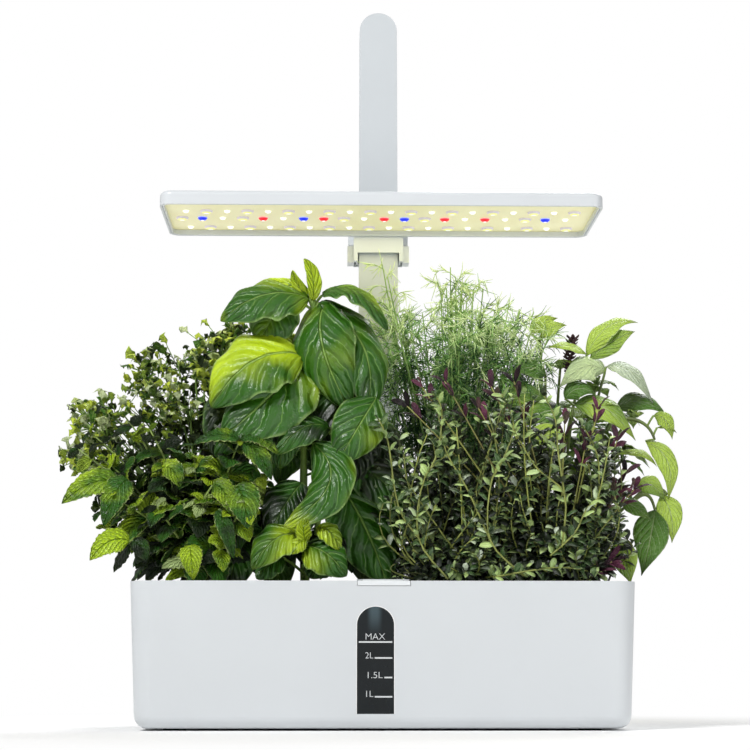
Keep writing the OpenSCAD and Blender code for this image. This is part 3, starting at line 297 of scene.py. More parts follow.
def led_lens(name, rim, middle, core, strength, ring, spot):
    """A lit LED: its core out to spot, its middle out to ring, then its rim, by the radius on the mesh."""
    finish = Finish(name, roughness=0.3, emission_strength=strength)
    radius = finish.attribute("tint")
    flaw = finish.noise(2500, 2.0) * 0.06
    inner = finish.blend((radius + flaw).between(spot - 0.06, spot + 0.1), core, middle)
    whole = finish.blend((radius + flaw).between(ring - 0.08, ring + 0.08), inner, rim)
    finish.feed("Emission Color", whole)
    finish.feed("Base Color", whole)
    finish.relief(finish.noise(1500, 2.0), 0.00001)
    return finish.material


def led_coloured():
    """Red and blue LEDs: a white-hot spot in a saturated disc; the mesh says which are blue."""
    finish = Finish("led_coloured", roughness=0.3, emission_strength=0.9)
    radius = finish.attribute("tint")
    blue = finish.attribute("kind")
    disc = finish.blend(blue, paint(226, 28, 44), paint(22, 44, 226))
    halo = finish.blend(blue, paint(238, 150, 160), paint(150, 160, 238))
    lit = finish.blend(radius.between(0.22, 0.42), paint(255, 250, 255), disc)
    whole = finish.blend(radius.between(0.95, 1.0), lit, halo)
    finish.feed("Emission Color", whole)
    finish.feed("Base Color", whole)
    finish.relief(finish.noise(1500, 2.0), 0.00001)
    return finish.material


def circuit_green():
    """Green solder mask with paler tracks."""
    finish = Finish("circuit_board", roughness=0.4)
    x, y, _ = finish.axes()
    tracks = (x * 900.0).math("SINE").between(0.7, 0.9) * (y * 260.0).math("SINE").between(-0.4, 0.2)
    finish.feed("Base Color", finish.blend(tracks, paint(14, 74, 40), paint(42, 120, 66)))
    finish.relief(tracks, 0.00003)
    return finish.material


LIGHT_THROUGH = paint(196, 226, 40)   # what light takes on inside a leaf


def leaf_finish(name, deep, fresh, vein, ribs, slant, blister, gloss=0.42, pale_under=0.35, net=420.0,
                rib_width=0.10, glow=0.12, edge=None, patches=1.1, shine=0.35, painted_leaf_sheen=(214, 226, 208),
                cloud=55.0, pores=0.35):
    """A leaf blade. Along it u runs from stalk to tip, and across it v from edge to edge, 0.5 at the midrib.

    Side veins leave the midrib ribs times and slant towards the tip: where the fraction of
    ribs * (u - slant * |2v - 1|) is near 0 or 1 lies a vein, rib_width wide, and net cells a metre make the
    mesh of fine veins, sunk by pores. Colour goes from painted shade, a tenth of deep, over deep to the lime
    colour with the leaf's tint and with clouds of noise times patches; the tint holds the leaf's own tone
    together with painted light and shade, and the lime colour stands for young leaves and lit ones alike.
    Where the tint is over 1 the colour goes to a pale painted sheen. It is paler at the veins and on the
    underside; the veins and the edge colour, a painted highlight along the margin, fade out on the shaded
    leaves. The share glow of the light passes through.
    """
    finish = Finish(name, roughness=gloss, specular_ior_level=shine)
    along, over, _ = finish.axes(finish.node("ShaderNodeUVMap").outputs[0])
    across = (over * 2.0 - 1.0).math("ABSOLUTE")
    waver = finish.noise(90.0, 2.0) * 0.14
    step = ((along - across * slant + waver) * ribs).math("FRACT")
    off_rib = (step * 2.0 - 1.0).math("ABSOLUTE")
    side_rib = off_rib.between(1.0 - rib_width * 2, 1.0) * across.between(1.0, 0.55)
    midrib = across.between(0.055, 0.01)
    ribbed = midrib.math("MAXIMUM", side_rib * 0.8)
    mesh_of_veins = finish.cells(net, "DISTANCE_TO_EDGE").between(0.16, 0.02)
    own = finish.attribute("tint")
    under = finish.attribute("kind")
    clouds = finish.noise(cloud, 1.5)
    share = (own + (clouds - 0.5) * patches).clipped()
    # painted shade: leaves with a low tint go down to a tenth of deep, for the dark inside of the plants
    dark = finish.blend(share.between(0.0, 0.3), times(deep, 0.1), deep)
    # the lime colour stands for young leaves and for lit ones alike
    blade = finish.blend(share.between(0.42, 0.95), dark, fresh)
    # painted sheen: a tint over 1 turns the blade whitish, as light glancing off it
    blade = finish.blend(own.between(1.0, 1.6) * (0.7 + clouds * 0.5), blade, paint(*painted_leaf_sheen))
    # veins and the painted edge highlight show only on the lit leaves, not in the painted shade
    bright = share.between(-0.05, 0.4)
    veins = (ribbed * 0.75 + mesh_of_veins * pores * 0.35).math("MINIMUM", 1.0)
    veined = finish.blend(veins * bright, blade, vein)
    # the edge colour is a painted highlight along the leaf's margin
    if edge:
        veined = finish.blend(across.between(0.9, 0.99) * bright * 0.7, veined, edge)
    pale = finish.blend(under * pale_under, veined, paint(176, 196, 140))
    finish.feed("Base Color", pale)
    finish.feed("Roughness", gloss + clouds * 0.12 + under * 0.2)
    height = off_rib.between(1.0, 0.2) * 0.8 - midrib * 0.8 - mesh_of_veins * pores + clouds * 0.3
    finish.relief(height, blister)
    passed = tuple((one + other) / 2 for one, other in zip(fresh, LIGHT_THROUGH))
    finish.cover(glow, finish.node("ShaderNodeBsdfTranslucent", {}, {"Color": passed}))
    return finish.material


def stem_finish(name, pale, dark):
    """A herb's stem: from its dark to its pale colour by its tint and clouds of noise, with a fine grain."""
    finish = Finish(name, roughness=0.5)
    own = finish.attribute("tint")
    clouds = finish.noise(160.0, 3.0)
    finish.feed("Base Color", finish.blend((own + clouds * 0.8 - 0.4).clipped(), dark, pale))
    finish.relief(finish.noise(1500.0, 2.0), 0.00008)
    return finish.material


# ---------------------------------------------------------------------------------------------------
# Meshes
# ---------------------------------------------------------------------------------------------------

def new_object(name, data):
    """An object of the scene that holds that mesh, curve, lamp or camera."""
    made = bpy.data.objects.new(name, data)
    bpy.context.scene.collection.objects.link(made)
    return made


def make_piece(name, body, slot, finish, points, quads, uv, tint, kind):
    """A smooth mesh object in place from whole arrays: points in metres, quads as corner numbers.

    uv is one pair and tint and kind are one number for each point.
    """
    mesh = bpy.data.meshes.new(name)
    mesh.from_pydata(points, [], quads.tolist())
    layer = mesh.uv_layers.new(name="UVMap")
    layer.data.foreach_set("uv", uv[quads.reshape(-1)].astype(np.float32).reshape(-1))
    for label, numbers in (("tint", tint), ("kind", kind)):
        layer = mesh.attributes.new(label, "FLOAT", "POINT")
        layer.data.foreach_set("value", np.asarray(numbers, np.float32))
    mesh.polygons.foreach_set("use_smooth", np.ones(len(quads), bool))
    mesh.materials.append(finish)
    mesh.update()
    piece = new_object(name, mesh)
    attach(piece, body)
    return piece


def unit(vectors):
    """Vectors made one long."""
    return vectors / np.maximum(np.linalg.norm(vectors, axis=-1, keepdims=True), 1e-9)


def walls_round(grid):
    """The quads between neighbours of closed rings; grid holds corner numbers as (items, rings, corners)."""
    after = np.roll(grid, -1, axis=2)
    return np.stack((grid[:, :-1], grid[:, 1:], after[:, 1:], after[:, :-1]), -1).reshape(-1, 4)


def blades(base, bend, tip, face, half_width, rows, columns, outline, arch=0.0, fold=0.0, blister=0.0,
           ribs=7, slant=0.35, ruffle=0.0, waves=5.0, tooth=0.0, curl=0.0, thick=0.25, tint=0.5, *, rng):
    """Many leaf blades at once, each a thin closed sheet.

    The midrib is the curve with the control points base, bend and tip (a parabola in u from 0 to 1). The
    blade's upper side looks towards face. At u it is half_width * outline(u) wide to each side, and its
    section is an arc of arch radians a side, folded up by fold, lifted between the side veins by
    blister * sin(pi * ribs * (u - slant * |v|))^2, waved at the edge by ruffle * |v|^3 * sin(2 pi waves u),
    with every second row pulled in by tooth, and curled by curl * u^2.
    All sizes are in millimetres, and a number may be one for all leaves or one for each.
    Returns points in metres, quads, uv, tint and kind (1 on the underside).
    """
    base, bend, tip, face = (np.atleast_2d(np.asarray(item, float)) for item in (base, bend, tip, face))
    count = len(base)

    def each(number):
        return np.broadcast_to(np.asarray(number, float), (count,))[:, None, None]

    u = np.linspace(0, 1, rows + 1)[None, :, None]
    v_top = np.linspace(-1, 1, columns + 1)
    v = np.concatenate((v_top, v_top[::-1]))[None, None, :]
    under = np.concatenate((np.zeros(columns + 1), np.ones(columns + 1)))[None, None, :]
    middle, along = on_parabola(*(item[:, None, None, :] for item in (base, bend, tip)), u[..., None])
    facing = face[:, None, None, :]
    up = unit(facing - (facing * along).sum(-1, keepdims=True) * along)
    side = np.cross(up, along)
    width = each(half_width) * outline(u)
    row_number = np.arange(rows + 1)[None, :, None]
    width = width * (1 - each(tooth) * (row_number % 2) * (u < 0.97))
    bow = each(arch) + 1e-4
    reach = width * np.sin(bow * v) / bow
    lift = -width * (1 - np.cos(bow * v)) / bow
    size = np.abs(v)
    lift = lift + each(fold) * width * size
    lift = lift + each(blister) * np.sin(math.pi * ribs * (u - slant * size)) ** 2 * np.minimum(
        1.0, 3 * width / np.maximum(each(half_width), 1e-6)) * (1 - size ** 6) * np.minimum(1.0, 8 * size)
    phase = rng.uniform(0, 2 * math.pi, count)[:, None, None]
    lift = lift + each(ruffle) * width * size ** 3 * np.sin(2 * math.pi * waves * u + phase + 1.7 * (v > 0))
    lift = lift + each(curl) * u ** 2
    body = each(thick) * (1 - 0.75 * size ** 2) * np.minimum(1.0, 0.3 + 2.5 * outline(u))
    points = middle + side * reach[..., None] + up * (lift - under * body)[..., None]
    ring = 2 * (columns + 1)
    grid = np.arange(count * (rows + 1) * ring).reshape(count, rows + 1, ring)
    strip = np.arange(columns)
    caps = []
    for row, turned in ((0, False), (rows, True)):
        ends = grid[:, row]
        cap = np.stack((ends[:, strip], ends[:, strip + 1],
                        ends[:, ring - 2 - strip], ends[:, ring - 1 - strip]), -1)
        caps.append((cap[..., ::-1] if turned else cap).reshape(-1, 4))
    quads = np.concatenate([walls_round(grid)] + caps)
    shape = points.shape[:3]
    uv = np.stack((np.broadcast_to(u, shape), np.broadcast_to(v / 2 + 0.5, shape)), -1).reshape(-1, 2)
    tints = np.broadcast_to(each(tint), shape).reshape(-1)
    kinds = np.broadcast_to(under, shape).reshape(-1)
    return [points.reshape(-1, 3) * MM, quads, uv, tints, kinds]


def rods(paths, radii, sides=6, tint=0.5):
    """Round stems along many paths at once: rings of the given radii across each path, closed at both ends.

    paths is (stems, rings, 3) and radii is (stems, rings), in millimetres; sides is an even number.
    """
    paths = np.asarray(paths, float)
    count, rings, _ = paths.shape
    along = unit(np.gradient(paths, axis=1))
    spare = np.where(np.abs(along[:, :1, 1:2]) < 0.9, np.array([0.0, 1.0, 0.0]), np.array([1.0, 0.0, 0.0]))
    side = unit(np.cross(along, spare))
    up = np.cross(along, side)
    turn = np.linspace(0, 2 * math.pi, sides, endpoint=False)[None, None, :, None]
    radii = np.broadcast_to(np.asarray(radii, float), (count, rings))[..., None, None]
    points = paths[:, :, None] + radii * (np.cos(turn) * side[:, :, None] + np.sin(turn) * up[:, :, None])
    grid = np.arange(count * rings * sides).reshape(count, rings, sides)
    caps = []
    for corner in range(1, sides - 1, 2):
        four = [0, corner, corner + 1, corner + 2]
        caps += [grid[:, 0][:, four[::-1]], grid[:, -1][:, four]]
    quads = np.concatenate([walls_round(grid)[:, [0, 3, 2, 1]]] + caps)
    uv = np.stack(np.broadcast_arrays(np.linspace(0, 1, rings)[None, :, None],
                                      np.linspace(0, 1, sides)[None, None, :]), -1)
    uv = np.broadcast_to(uv, (count, rings, sides, 2)).reshape(-1, 2)
    tints = np.broadcast_to(np.asarray(tint, float).reshape(-1, 1, 1), (count, rings, sides)).reshape(-1)
    return [points.reshape(-1, 3) * MM, quads, uv, tints, np.zeros(len(tints))]


def join(*parts):
    """Several sets of points, quads, uv, tint and kind as one, with the corners renumbered."""
    start = np.cumsum([0] + [len(part[0]) for part in parts[:-1]])
    quads = np.concatenate([part[1] + first for part, first in zip(parts, start)])
    return [np.concatenate([part[0] for part in parts]), quads] + [
        np.concatenate([part[place] for part in parts]) for place in (2, 3, 4)]


def on_parabola(start, middle, end, s):
    """The points at s, 0 to 1, on parabolas with those control points, and their unit directions there."""
    place = (1 - s) ** 2 * start + 2 * s * (1 - s) * middle + s ** 2 * end
    return place, unit(2 * (1 - s) * (middle - start) + 2 * s * (end - middle))


def arc(start, middle, end, steps):
    """Points along the parabola with those control points; start, middle and end are (stems, 3)."""
    start, middle, end = (np.atleast_2d(np.asarray(item, float))[:, None] for item in (start, middle, end))
    return on_parabola(start, middle, end, np.linspace(0, 1, steps)[None, :, None])[0]


def through(points, steps):
    """A smooth path through each row of points: on each span a cubic whose slope at a point is half the way
    from the point before to the point after.
    """
    last = points.shape[1] - 1
    place = np.linspace(0, last, steps)
    low = np.minimum(place.astype(int), last - 1)
    t = (place - low)[None, :, None]
    before, here, there, after = (points[:, np.clip(low + step, 0, last)] for step in (-1, 0, 1, 2))
    return here + 0.5 * t * (there - before + t * (2 * before - 5 * here + 4 * there - after + t * (
        3 * (here - there) + after - before)))


def oval(widest, blunt):
    """A leaf outline: u^a (1-u)^b scaled to 1 at its widest place; a larger blunt gives a rounder leaf."""
    a = 1 / blunt * widest
    b = 1 / blunt * (1 - widest)
    top = widest ** a * (1 - widest) ** b

    def outline(u):
        return 0.02 + 0.98 * np.clip(u, 0, 1) ** a * np.clip(1 - u, 0, 1) ** b / top
    return outline


# ---------------------------------------------------------------------------------------------------
# Camera, light and floor
# ---------------------------------------------------------------------------------------------------

CAMERA_PLACE = (-32.37, -1223.14, 34.85)
CAMERA_PITCH = 8.82     # degrees above the horizon
CAMERA_TURN = -1.35     # degrees to the left
CAMERA_LENS = 91.74


def make_camera():
    """The camera stands low in front of the tank and looks slightly up."""
    lens = bpy.data.cameras.new("camera")
    lens.lens = CAMERA_LENS
    lens.sensor_width = 36.0
    lens.clip_end = 100.0
    camera = new_object("camera", lens)
    camera.location = np.array(CAMERA_PLACE) * MM
    camera.rotation_euler = (math.radians(90 + CAMERA_PITCH), 0.0, math.radians(CAMERA_TURN))
    bpy.context.scene.camera = camera


def area_light(name, place, aim, width, height, power, colour=(1.0, 1.0, 1.0)):
    """A soft rectangular lamp at place, looking at aim, in metres and watts; returns its object."""
    light = bpy.data.lights.new(name, "AREA")
    light.shape = "RECTANGLE"
    light.size = width
    light.size_y = height
    light.energy = power
    light.color = colour
    lamp = new_object(name, light)
    lamp.location = place
    lamp.rotation_mode = "QUATERNION"
    lamp.rotation_quaternion = (Vector(aim) - Vector(place)).to_track_quat("-Z", "Y")
    return lamp


AMBIENT = 0.24                        # the white surroundings' strength as light on the object
MIRRORED = 0.3                        # what is added to it where they are seen in gloss
# Each studio lamp: name, place, what it looks at, width, height and power.
STUDIO_LAMPS = (
    ("key", (-0.9, -1.3, 1.7), (0.0, 0.0, 0.2), 0.5, 0.5, 34.0),
    ("fill", (1.4, -1.2, 0.7), (0.0, 0.0, 0.2), 0.9, 1.2, 7.5),
    ("rim", (0.5, 1.3, 1.5), (0.0, 0.0, 0.25), 0.9, 0.6, 21.0),
)
GLOW_DROP = 2.5                       # from the LED plate down to its light
GLOW_WIDTH = 0.95                     # share of the plate's width
GLOW_DEPTH = 0.9                      # share of the plate's depth
GLOW_POWER = 0.11
GLOW_COLOUR = (1.0, 0.96, 0.66)
FLOOR_HALF = 6000.0
FLOOR_KEEPS = 0.14                    # out to here the floor shows as it is, in metres
FLOOR_GONE = 0.4                      # from here on it shows plain white


def light_room():
    """White surroundings as seen, dimmer ones in gloss and as light, and the studio lamps."""
    world = bpy.data.worlds.new("studio")
    world.use_nodes = True
    bpy.context.scene.world = world
    tree = world.node_tree
    background = tree.nodes["Background"]
    background.inputs[0].default_value = (1.0, 1.0, 1.0, 1.0)
    path = tree.nodes.new("ShaderNodeLightPath")
    seen = Value(tree, path.outputs["Is Camera Ray"])
    mirrored = Value(tree, path.outputs["Is Glossy Ray"])
    passed = Value(tree, path.outputs["Is Transmission Ray"])
    shown = (seen + passed + mirrored * MIRRORED).math("MINIMUM", 1.0)
    strength = shown * (1 - AMBIENT) + AMBIENT
    tree.links.new(strength.socket, background.inputs[1])
    for lamp in STUDIO_LAMPS:
        area_light(*lamp)


def light_lamp():
    """The grow lamp's own warm light: a lamp under the LED plate that moves with it and isn't seen itself."""
    low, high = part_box("led_board")
    middle = (low + high) / 2
    place = (middle.x, middle.y, low.z - GLOW_DROP * MM)
    glow = area_light("glow", place, (middle.x, middle.y, 0.0), (high.x - low.x) * GLOW_WIDTH,
                      (high.y - low.y) * GLOW_DEPTH, GLOW_POWER, GLOW_COLOUR)
    glow.visible_camera = False
    glow.visible_glossy = False
    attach(glow, "lamp")


def make_floor():
    """A wide pale floor: it keeps the shadow round the tank, and fades to plain white as seen farther off.

    How far off a place is goes by sqrt(x^2 / 2 + y^2), so the fade reaches farther to the sides.
    """
    finish = Finish("floor", roughness=0.9, specular_ior_level=0.0)
    cloud = finish.noise(3.0, 2.0)
    finish.feed("Base Color", finish.blend(cloud, paint(252, 252, 252), paint(255, 255, 255)))
    x, y, _ = finish.axes()
    away = ((x * x) * 0.5 + y * y).math("SQRT")
    seen = Value(finish.tree, finish.node("ShaderNodeLightPath").outputs["Is Camera Ray"])
    white = finish.node("ShaderNodeEmission", {}, {"Color": (1.0, 1.0, 1.0, 1.0), "Strength": 1.0})
    finish.cover(away.between(FLOOR_KEEPS, FLOOR_GONE) * seen, white)
    corners = np.array([(-1, -1, 0), (1, -1, 0), (1, 1, 0), (-1, 1, 0)]) * FLOOR_HALF * MM
    mesh = bpy.data.meshes.new("floor")
    mesh.from_pydata(corners, [], [(0, 1, 2, 3)])
    mesh.materials.append(finish.material)
    new_object("floor", mesh)


# ---------------------------------------------------------------------------------------------------
# Moulded and metal pieces: the construction's own solids, with soft edges and a finish
# ---------------------------------------------------------------------------------------------------

def dress(finish, edge, *nodes):
    """Gives each construction piece its finish, smooth shading and edges rounded by edge millimetres."""
    for node in nodes:
        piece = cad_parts[node]
        mesh = piece.data
        if not mesh.materials:
            mesh.materials.append(finish)
        for place in piece.material_slots:
            place.material = finish
        own_normals = mesh.attributes.get("custom_normal")
        if own_normals:
            mesh.attributes.remove(own_normals)
        mesh.polygons.foreach_set("use_smooth", np.ones(len(mesh.polygons), bool))
        weld = piece.modifiers.new("weld", "WELD")
        weld.merge_threshold = 0.01 * MM
        bevel = piece.modifiers.new("edges", "BEVEL")
        bevel.width = edge * MM
        bevel.segments = 2
        bevel.limit_method = "ANGLE"
        bevel.angle_limit = math.radians(35)
        bevel.harden_normals = True
        even = piece.modifiers.new("normals", "WEIGHTED_NORMAL")
        even.keep_sharp = True


def dress_construction():
    """Every piece of the construction that stays, by finish."""
    white = white_shell()
    dress(white, 0.5, "tank_shell", "grow_deck", "lamp_housing", "lamp_bezel")
    dress(moulded("mast_white", paint(200, 205, 208), 0.34, shift=0.012), 0.5, "mast_cover")
    dress(white, 0.3, "slider_saddle", "slider_plate", "mast_socket")
    # the flap is lighter than the tank's white as painted light on its lip, which stands proud and faces
    # slightly up
    dress(moulded("flap_white_painted_lit", paint(230, 234, 236), 0.3, shift=0.012), 0.12, "fill_flap")
    dress(moulded("release_grey", paint(214, 218, 220), 0.34), 0.3, "release_left", "release_right")
    dress(moulded("button_grey", paint(190, 195, 199), 0.4), 0.25, "power_button", "mode_button")
    dress(dark_window(), 0.2, "window_panel")
    dress(print_white(), 0.02, "level_marks")
    dress(rubber("black_rubber", paint(34, 34, 36)), 0.3, "rubber_feet", "window_gasket")
    dress(rubber("lead_black", paint(28, 28, 30)), 0.05, "supply_lead", "pump_lead")
    black = moulded("black_plastic", paint(34, 35, 38), 0.42, shift=0.1)
    dress(black, 0.25, "pump_body", "pump_cover", "pump_grille", "dc_jack")
    basket = moulded("basket_plastic", paint(46, 47, 50), 0.5, shift=0.1)
    dress(basket, 0.15, *("basket_%d" % number for number in range(1, 9)))
    dress(foam(), 0.3, "grow_sponges")
    dress(moulded("clear_silicone", paint(206, 210, 212), 0.35), 0.2, "suction_cups", "pump_riser")
    dress(moulded("impeller_plastic", paint(222, 224, 226), 0.4), 0.1, "impeller")
    steel = ribbed_metal("steel", paint(196, 198, 200), 0.24, 60)
    dress(steel, 0.05, "socket_screws", "flap_pin", "lamp_screws", "slider_screws", "spring_left",
          "spring_right", "impeller_shaft")
    dress(ribbed_metal("magnet", paint(120, 120, 124), 0.4, 90), 0.1, "impeller_magnet")
    dress(ribbed_metal("rail_metal", paint(210, 213, 216), 0.36, 20), 0.3, "mast_rail")
    dress(ribbed_metal("brass", paint(214, 178, 104), 0.28, 80), 0.1, "power_strips", "brush_contacts",
          "contact_block")
    dress(led_plate(), 0.1, "led_board")
    dress(circuit_green(), 0.1, "control_board")


# ---------------------------------------------------------------------------------------------------
# Lettering beside the level marks
# ---------------------------------------------------------------------------------------------------

# Words, left edge, baseline above the table and width.
FIGURES = (("MAX", -10.9, 53.7, 11.6), ("2L", -11.1, 42.6, 4.8), ("1.5L", -9.6, 31.0, 8.8),
           ("1L", -10.5, 20.0, 4.2))
FIGURE_HEIGHT = 3.6
FIGURE_PROUD = 0.16
FIGURE_EXTRUDED = 0.1                 # in text units, before it's scaled to FIGURE_PROUD
FIGURE_THINNED = -0.008               # strokes drawn in by this many text units
RIM_Z = 88.5
RIM_FRONT = -77.0
WALL_LEAN = math.atan2(3.9, 87.3)     # the front wall leans in by 3.9 over its height of 87.3


def make_lettering():
    """The printed figures: each point goes left + x to the right, and up and out along the leaning wall."""
    finish = bpy.data.materials["print_white"]
    up = np.array([0.0, -math.sin(WALL_LEAN), math.cos(WALL_LEAN)])
    out = np.array([0.0, -math.cos(WALL_LEAN), -math.sin(WALL_LEAN)])
    for number, (words, left, baseline, width) in enumerate(FIGURES):
        curve = bpy.data.curves.new("figure", "FONT")
        curve.body = words
        curve.extrude = FIGURE_EXTRUDED
        curve.offset = FIGURE_THINNED
        text = new_object("figure", curve)
        mesh = bpy.data.meshes.new_from_object(text.evaluated_get(bpy.context.evaluated_depsgraph_get()))
        bpy.data.objects.remove(text)
        points = np.empty(len(mesh.vertices) * 3, np.float32)
        mesh.vertices.foreach_get("co", points)
        points = points.reshape(-1, 3).astype(float)
        low, high = points.min(0), points.max(0)
        x, y, z = ((points - low) / (high - low) * (width, FIGURE_HEIGHT, FIGURE_PROUD)).T
        foot = np.array([left, RIM_FRONT, RIM_Z]) + (baseline - RIM_Z) / math.cos(WALL_LEAN) * up
        placed = foot + x[:, None] * (1.0, 0.0, 0.0) + y[:, None] * up + z[:, None] * out
        mesh.vertices.foreach_set("co", (placed * MM).astype(np.float32).reshape(-1))
        mesh.materials.clear()
        mesh.materials.append(finish)
        mesh.update()
        piece = new_object("level_figure_%d" % (number + 1), mesh)
        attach(piece, "base")


# ---------------------------------------------------------------------------------------------------
# LEDs
# ---------------------------------------------------------------------------------------------------

LED_LAMP_Y = 4.25                     # middle line of the lamp
LED_PLAIN_ROWS = (-11.5, 33.3)        # from that line
LED_COLOUR_ROWS = (-37.55, 7.3)
LED_SHIFT = -3.8                      # sideways shift of the coloured rows
LED_ORDER = "abwarwbrawrbarwrwabw"
LED_PITCH = 13.347
LED_RINGS = 7
LED_SIDES = 24


def led_domes(places, radius, height, top, kinds):
    """Shallow closed domes under the LED plate: radius * r across and height * sqrt(1 - r^2) deep."""
    dome = np.sin(np.linspace(0, math.pi / 2, LED_RINGS))
    r = np.append(dome, 0.0)[None, :, None]
    depth = np.append(height * np.sqrt(1 - dome ** 2), 0.0)[None, :, None]
    turn = np.linspace(0, 2 * math.pi, LED_SIDES, endpoint=False)[None, None, :]
    places = np.asarray(places, float)
    x = places[:, 0, None, None] + radius * r * np.cos(turn)
    y = places[:, 1, None, None] + radius * r * np.sin(turn)
    z = np.broadcast_to(top - depth, x.shape)
    points = np.stack((x, y, z), -1).reshape(-1, 3) * MM
    quads = walls_round(np.arange(x.size).reshape(x.shape))
    tints = np.broadcast_to(r, x.shape).reshape(-1)
    kinds = np.broadcast_to(np.asarray(kinds, float)[:, None, None], x.shape).reshape(-1)
    return [points, quads, np.stack((tints, kinds), -1), tints, kinds]


def make_leds():
    """The lit LEDs in their rows: w white, a warm, r red and b blue."""
    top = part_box("led_board")[0].z / MM
    middle = (len(LED_ORDER) - 1) / 2
    rows = [(LED_LAMP_Y + row, 0.0, "wa" * (len(LED_ORDER) // 2)) for row in LED_PLAIN_ROWS]
    rows += [(LED_LAMP_Y + row, LED_SHIFT, LED_ORDER) for row in LED_COLOUR_ROWS]
    places = {letter: [] for letter in "warb"}
    for y, shift, letters in rows:
        for number, letter in enumerate(letters):
            places[letter].append(((number - middle) * LED_PITCH + shift, y))
    warm = led_lens("led_warm", rim=paint(198, 191, 200), middle=paint(244, 243, 136),
                    core=paint(255, 255, 240), strength=0.45, ring=0.76, spot=0.4)
    white = led_lens("led_white", rim=paint(236, 236, 226), middle=paint(255, 255, 250),
                     core=paint(255, 255, 255), strength=0.8, ring=0.8, spot=0.5)
    lenses = (("leds_white", "led_white", white, "w", 2.1, 1.5),
              ("leds_warm", "led_warm", warm, "a", 4.2, 2.1),
              ("leds_coloured", "led_colour", led_coloured(), "rb", 3.2, 2.25))
    for node, slot, finish, letters, radius, depth in lenses:
        spots = [spot for letter in letters for spot in places[letter]]
        blue = [float(letter == "b") for letter in letters for _ in places[letter]]
        piece = make_piece(node + "_lit", "lamp", slot, finish, *led_domes(spots, radius, depth, top, blue))
        piece.modifiers.new("weld", "WELD").merge_threshold = 0.001 * MM
        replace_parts(piece, node)


# ---------------------------------------------------------------------------------------------------
# Herbs
# ---------------------------------------------------------------------------------------------------

DECK_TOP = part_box("grow_sponges")[1].z / MM
POD_X = (48.0, 112.0)                 # inner and outer pods, either side of the mast
POD_FRONT = -30.0
POD_REAR = 26.0
UP = np.array([0.0, 0.0, 1.0])
OUT = np.array([0.0, -1.0, 0.0])      # towards the front of the tank
FLAP_HALF = 18.0                      # the refill flap's swing, kept free of leaves
FLAP_REAR = -42.5
FLAP_PRESS = 0.03                     # what is in the way is pressed to this share of its depth there
FLAP_HIGH = 120.0
MAST_HALF = 22.0                      # the mast and its slider, kept free of leaves
MAST_FRONT = 46.0
HERB_REACH = (-204.4, 194.8)          # the herbs' farthest places to the left and to the right
HERB_DEPTH = (-76.5, 77.5)            # and to the front and to the rear


def columns_of(rows):
    """The columns of a table of points and numbers, each as one array."""
    return [np.array(column, float) for column in zip(*rows)]


def scattered(rng, low, high, count):
    """Points evenly at random in the box between two corners."""
    return rng.uniform(np.asarray(low, float), np.asarray(high, float), (count, 3))


def stems_from(pod, tips, rng, reach=0.3, climb=0.62, wander=3.0):
    """Start and middle control points of stems that rise from a pod and then lean out to their tips."""
    tips = np.asarray(tips, float)
    start = np.array([pod[0], pod[1], DECK_TOP]) + rng.normal(0, 1, tips.shape) * (wander, wander, 0)
    middle = start + (tips - start) * (reach, reach, climb)
    return start, middle + rng.normal(0, wander, tips.shape)


def pairs_along(start, middle, end, shares, length, rng, spread=0.85, ahead=0.3, sag=0.25, jitter=0.2):
    """Stalks, bends, tips and upper faces of leaves in opposite pairs along parabolic stems.

    At each share of a stem two leaves leave it, at right angles to the pair before. A leaf of length l
    reaches spread * l sideways and ahead * l along the stem, and its tip falls by sag * l.
    """
    start, middle, end = (np.asarray(item, float)[:, None] for item in (start, middle, end))
    place, along = on_parabola(start, middle, end, np.asarray(shares, float)[None, :, None])
    side = unit(np.cross(along, [0.13, 0.96, 0.21]))
    other = np.cross(along, side)
    stems, nodes = place.shape[:2]
    angle = rng.uniform(0, math.pi, (stems, 1)) + np.arange(nodes)[None] * math.pi / 2
    angle = (angle[..., None] + np.array([0, math.pi]) + rng.normal(0, jitter, (stems, nodes, 2)))[..., None]
    away = np.cos(angle) * side[:, :, None] + np.sin(angle) * other[:, :, None]
    size = np.broadcast_to(np.asarray(length, float), (nodes,))[None, :, None, None]
    size = size * rng.uniform(0.8, 1.15, (stems, nodes, 2, 1))
    place = np.broadcast_to(place[:, :, None], away.shape)
    along = np.broadcast_to(along[:, :, None], away.shape)
    tip = place + size * (spread * away + ahead * along - sag * UP)
    bend = place + size * (0.5 * spread * away + (0.5 * ahead + 0.12) * along + 0.12 * UP)
    face = unit(along * 0.5 + UP * 0.8 + away * 0.1 + rng.normal(0, 0.25, away.shape))
    share = np.broadcast_to(np.asarray(shares, float)[None, :, None], away.shape[:3]).reshape(-1)
    flat = [item.reshape(-1, 3) for item in (place, bend, tip, face)]
    return flat + [np.broadcast_to(size, away.shape)[..., 0].reshape(-1), share]


def stalks(stem, bases, drop, radius, tint):
    """Leaf stalks: arcs from the stem's nearest point, drop below, to each leaf's base."""
    bases = np.asarray(bases, float)
    goal = bases - np.array([0, 0, drop])
    near = stem[np.argmin(np.linalg.norm(stem[None] - goal[:, None], axis=-1), axis=1)]
    middle = (near + bases) / 2 + np.array([0, 0, 0.2 * drop])
    return rods(arc(near, middle, bases, 6), radius, 6, tint)


def in_flap_swing(places):
    """Which places, in millimetres, lie where the refill flap swings."""
    return (np.abs(places[:, 0]) < FLAP_HALF) & (places[:, 1] < FLAP_REAR) & (places[:, 2] < FLAP_HIGH)


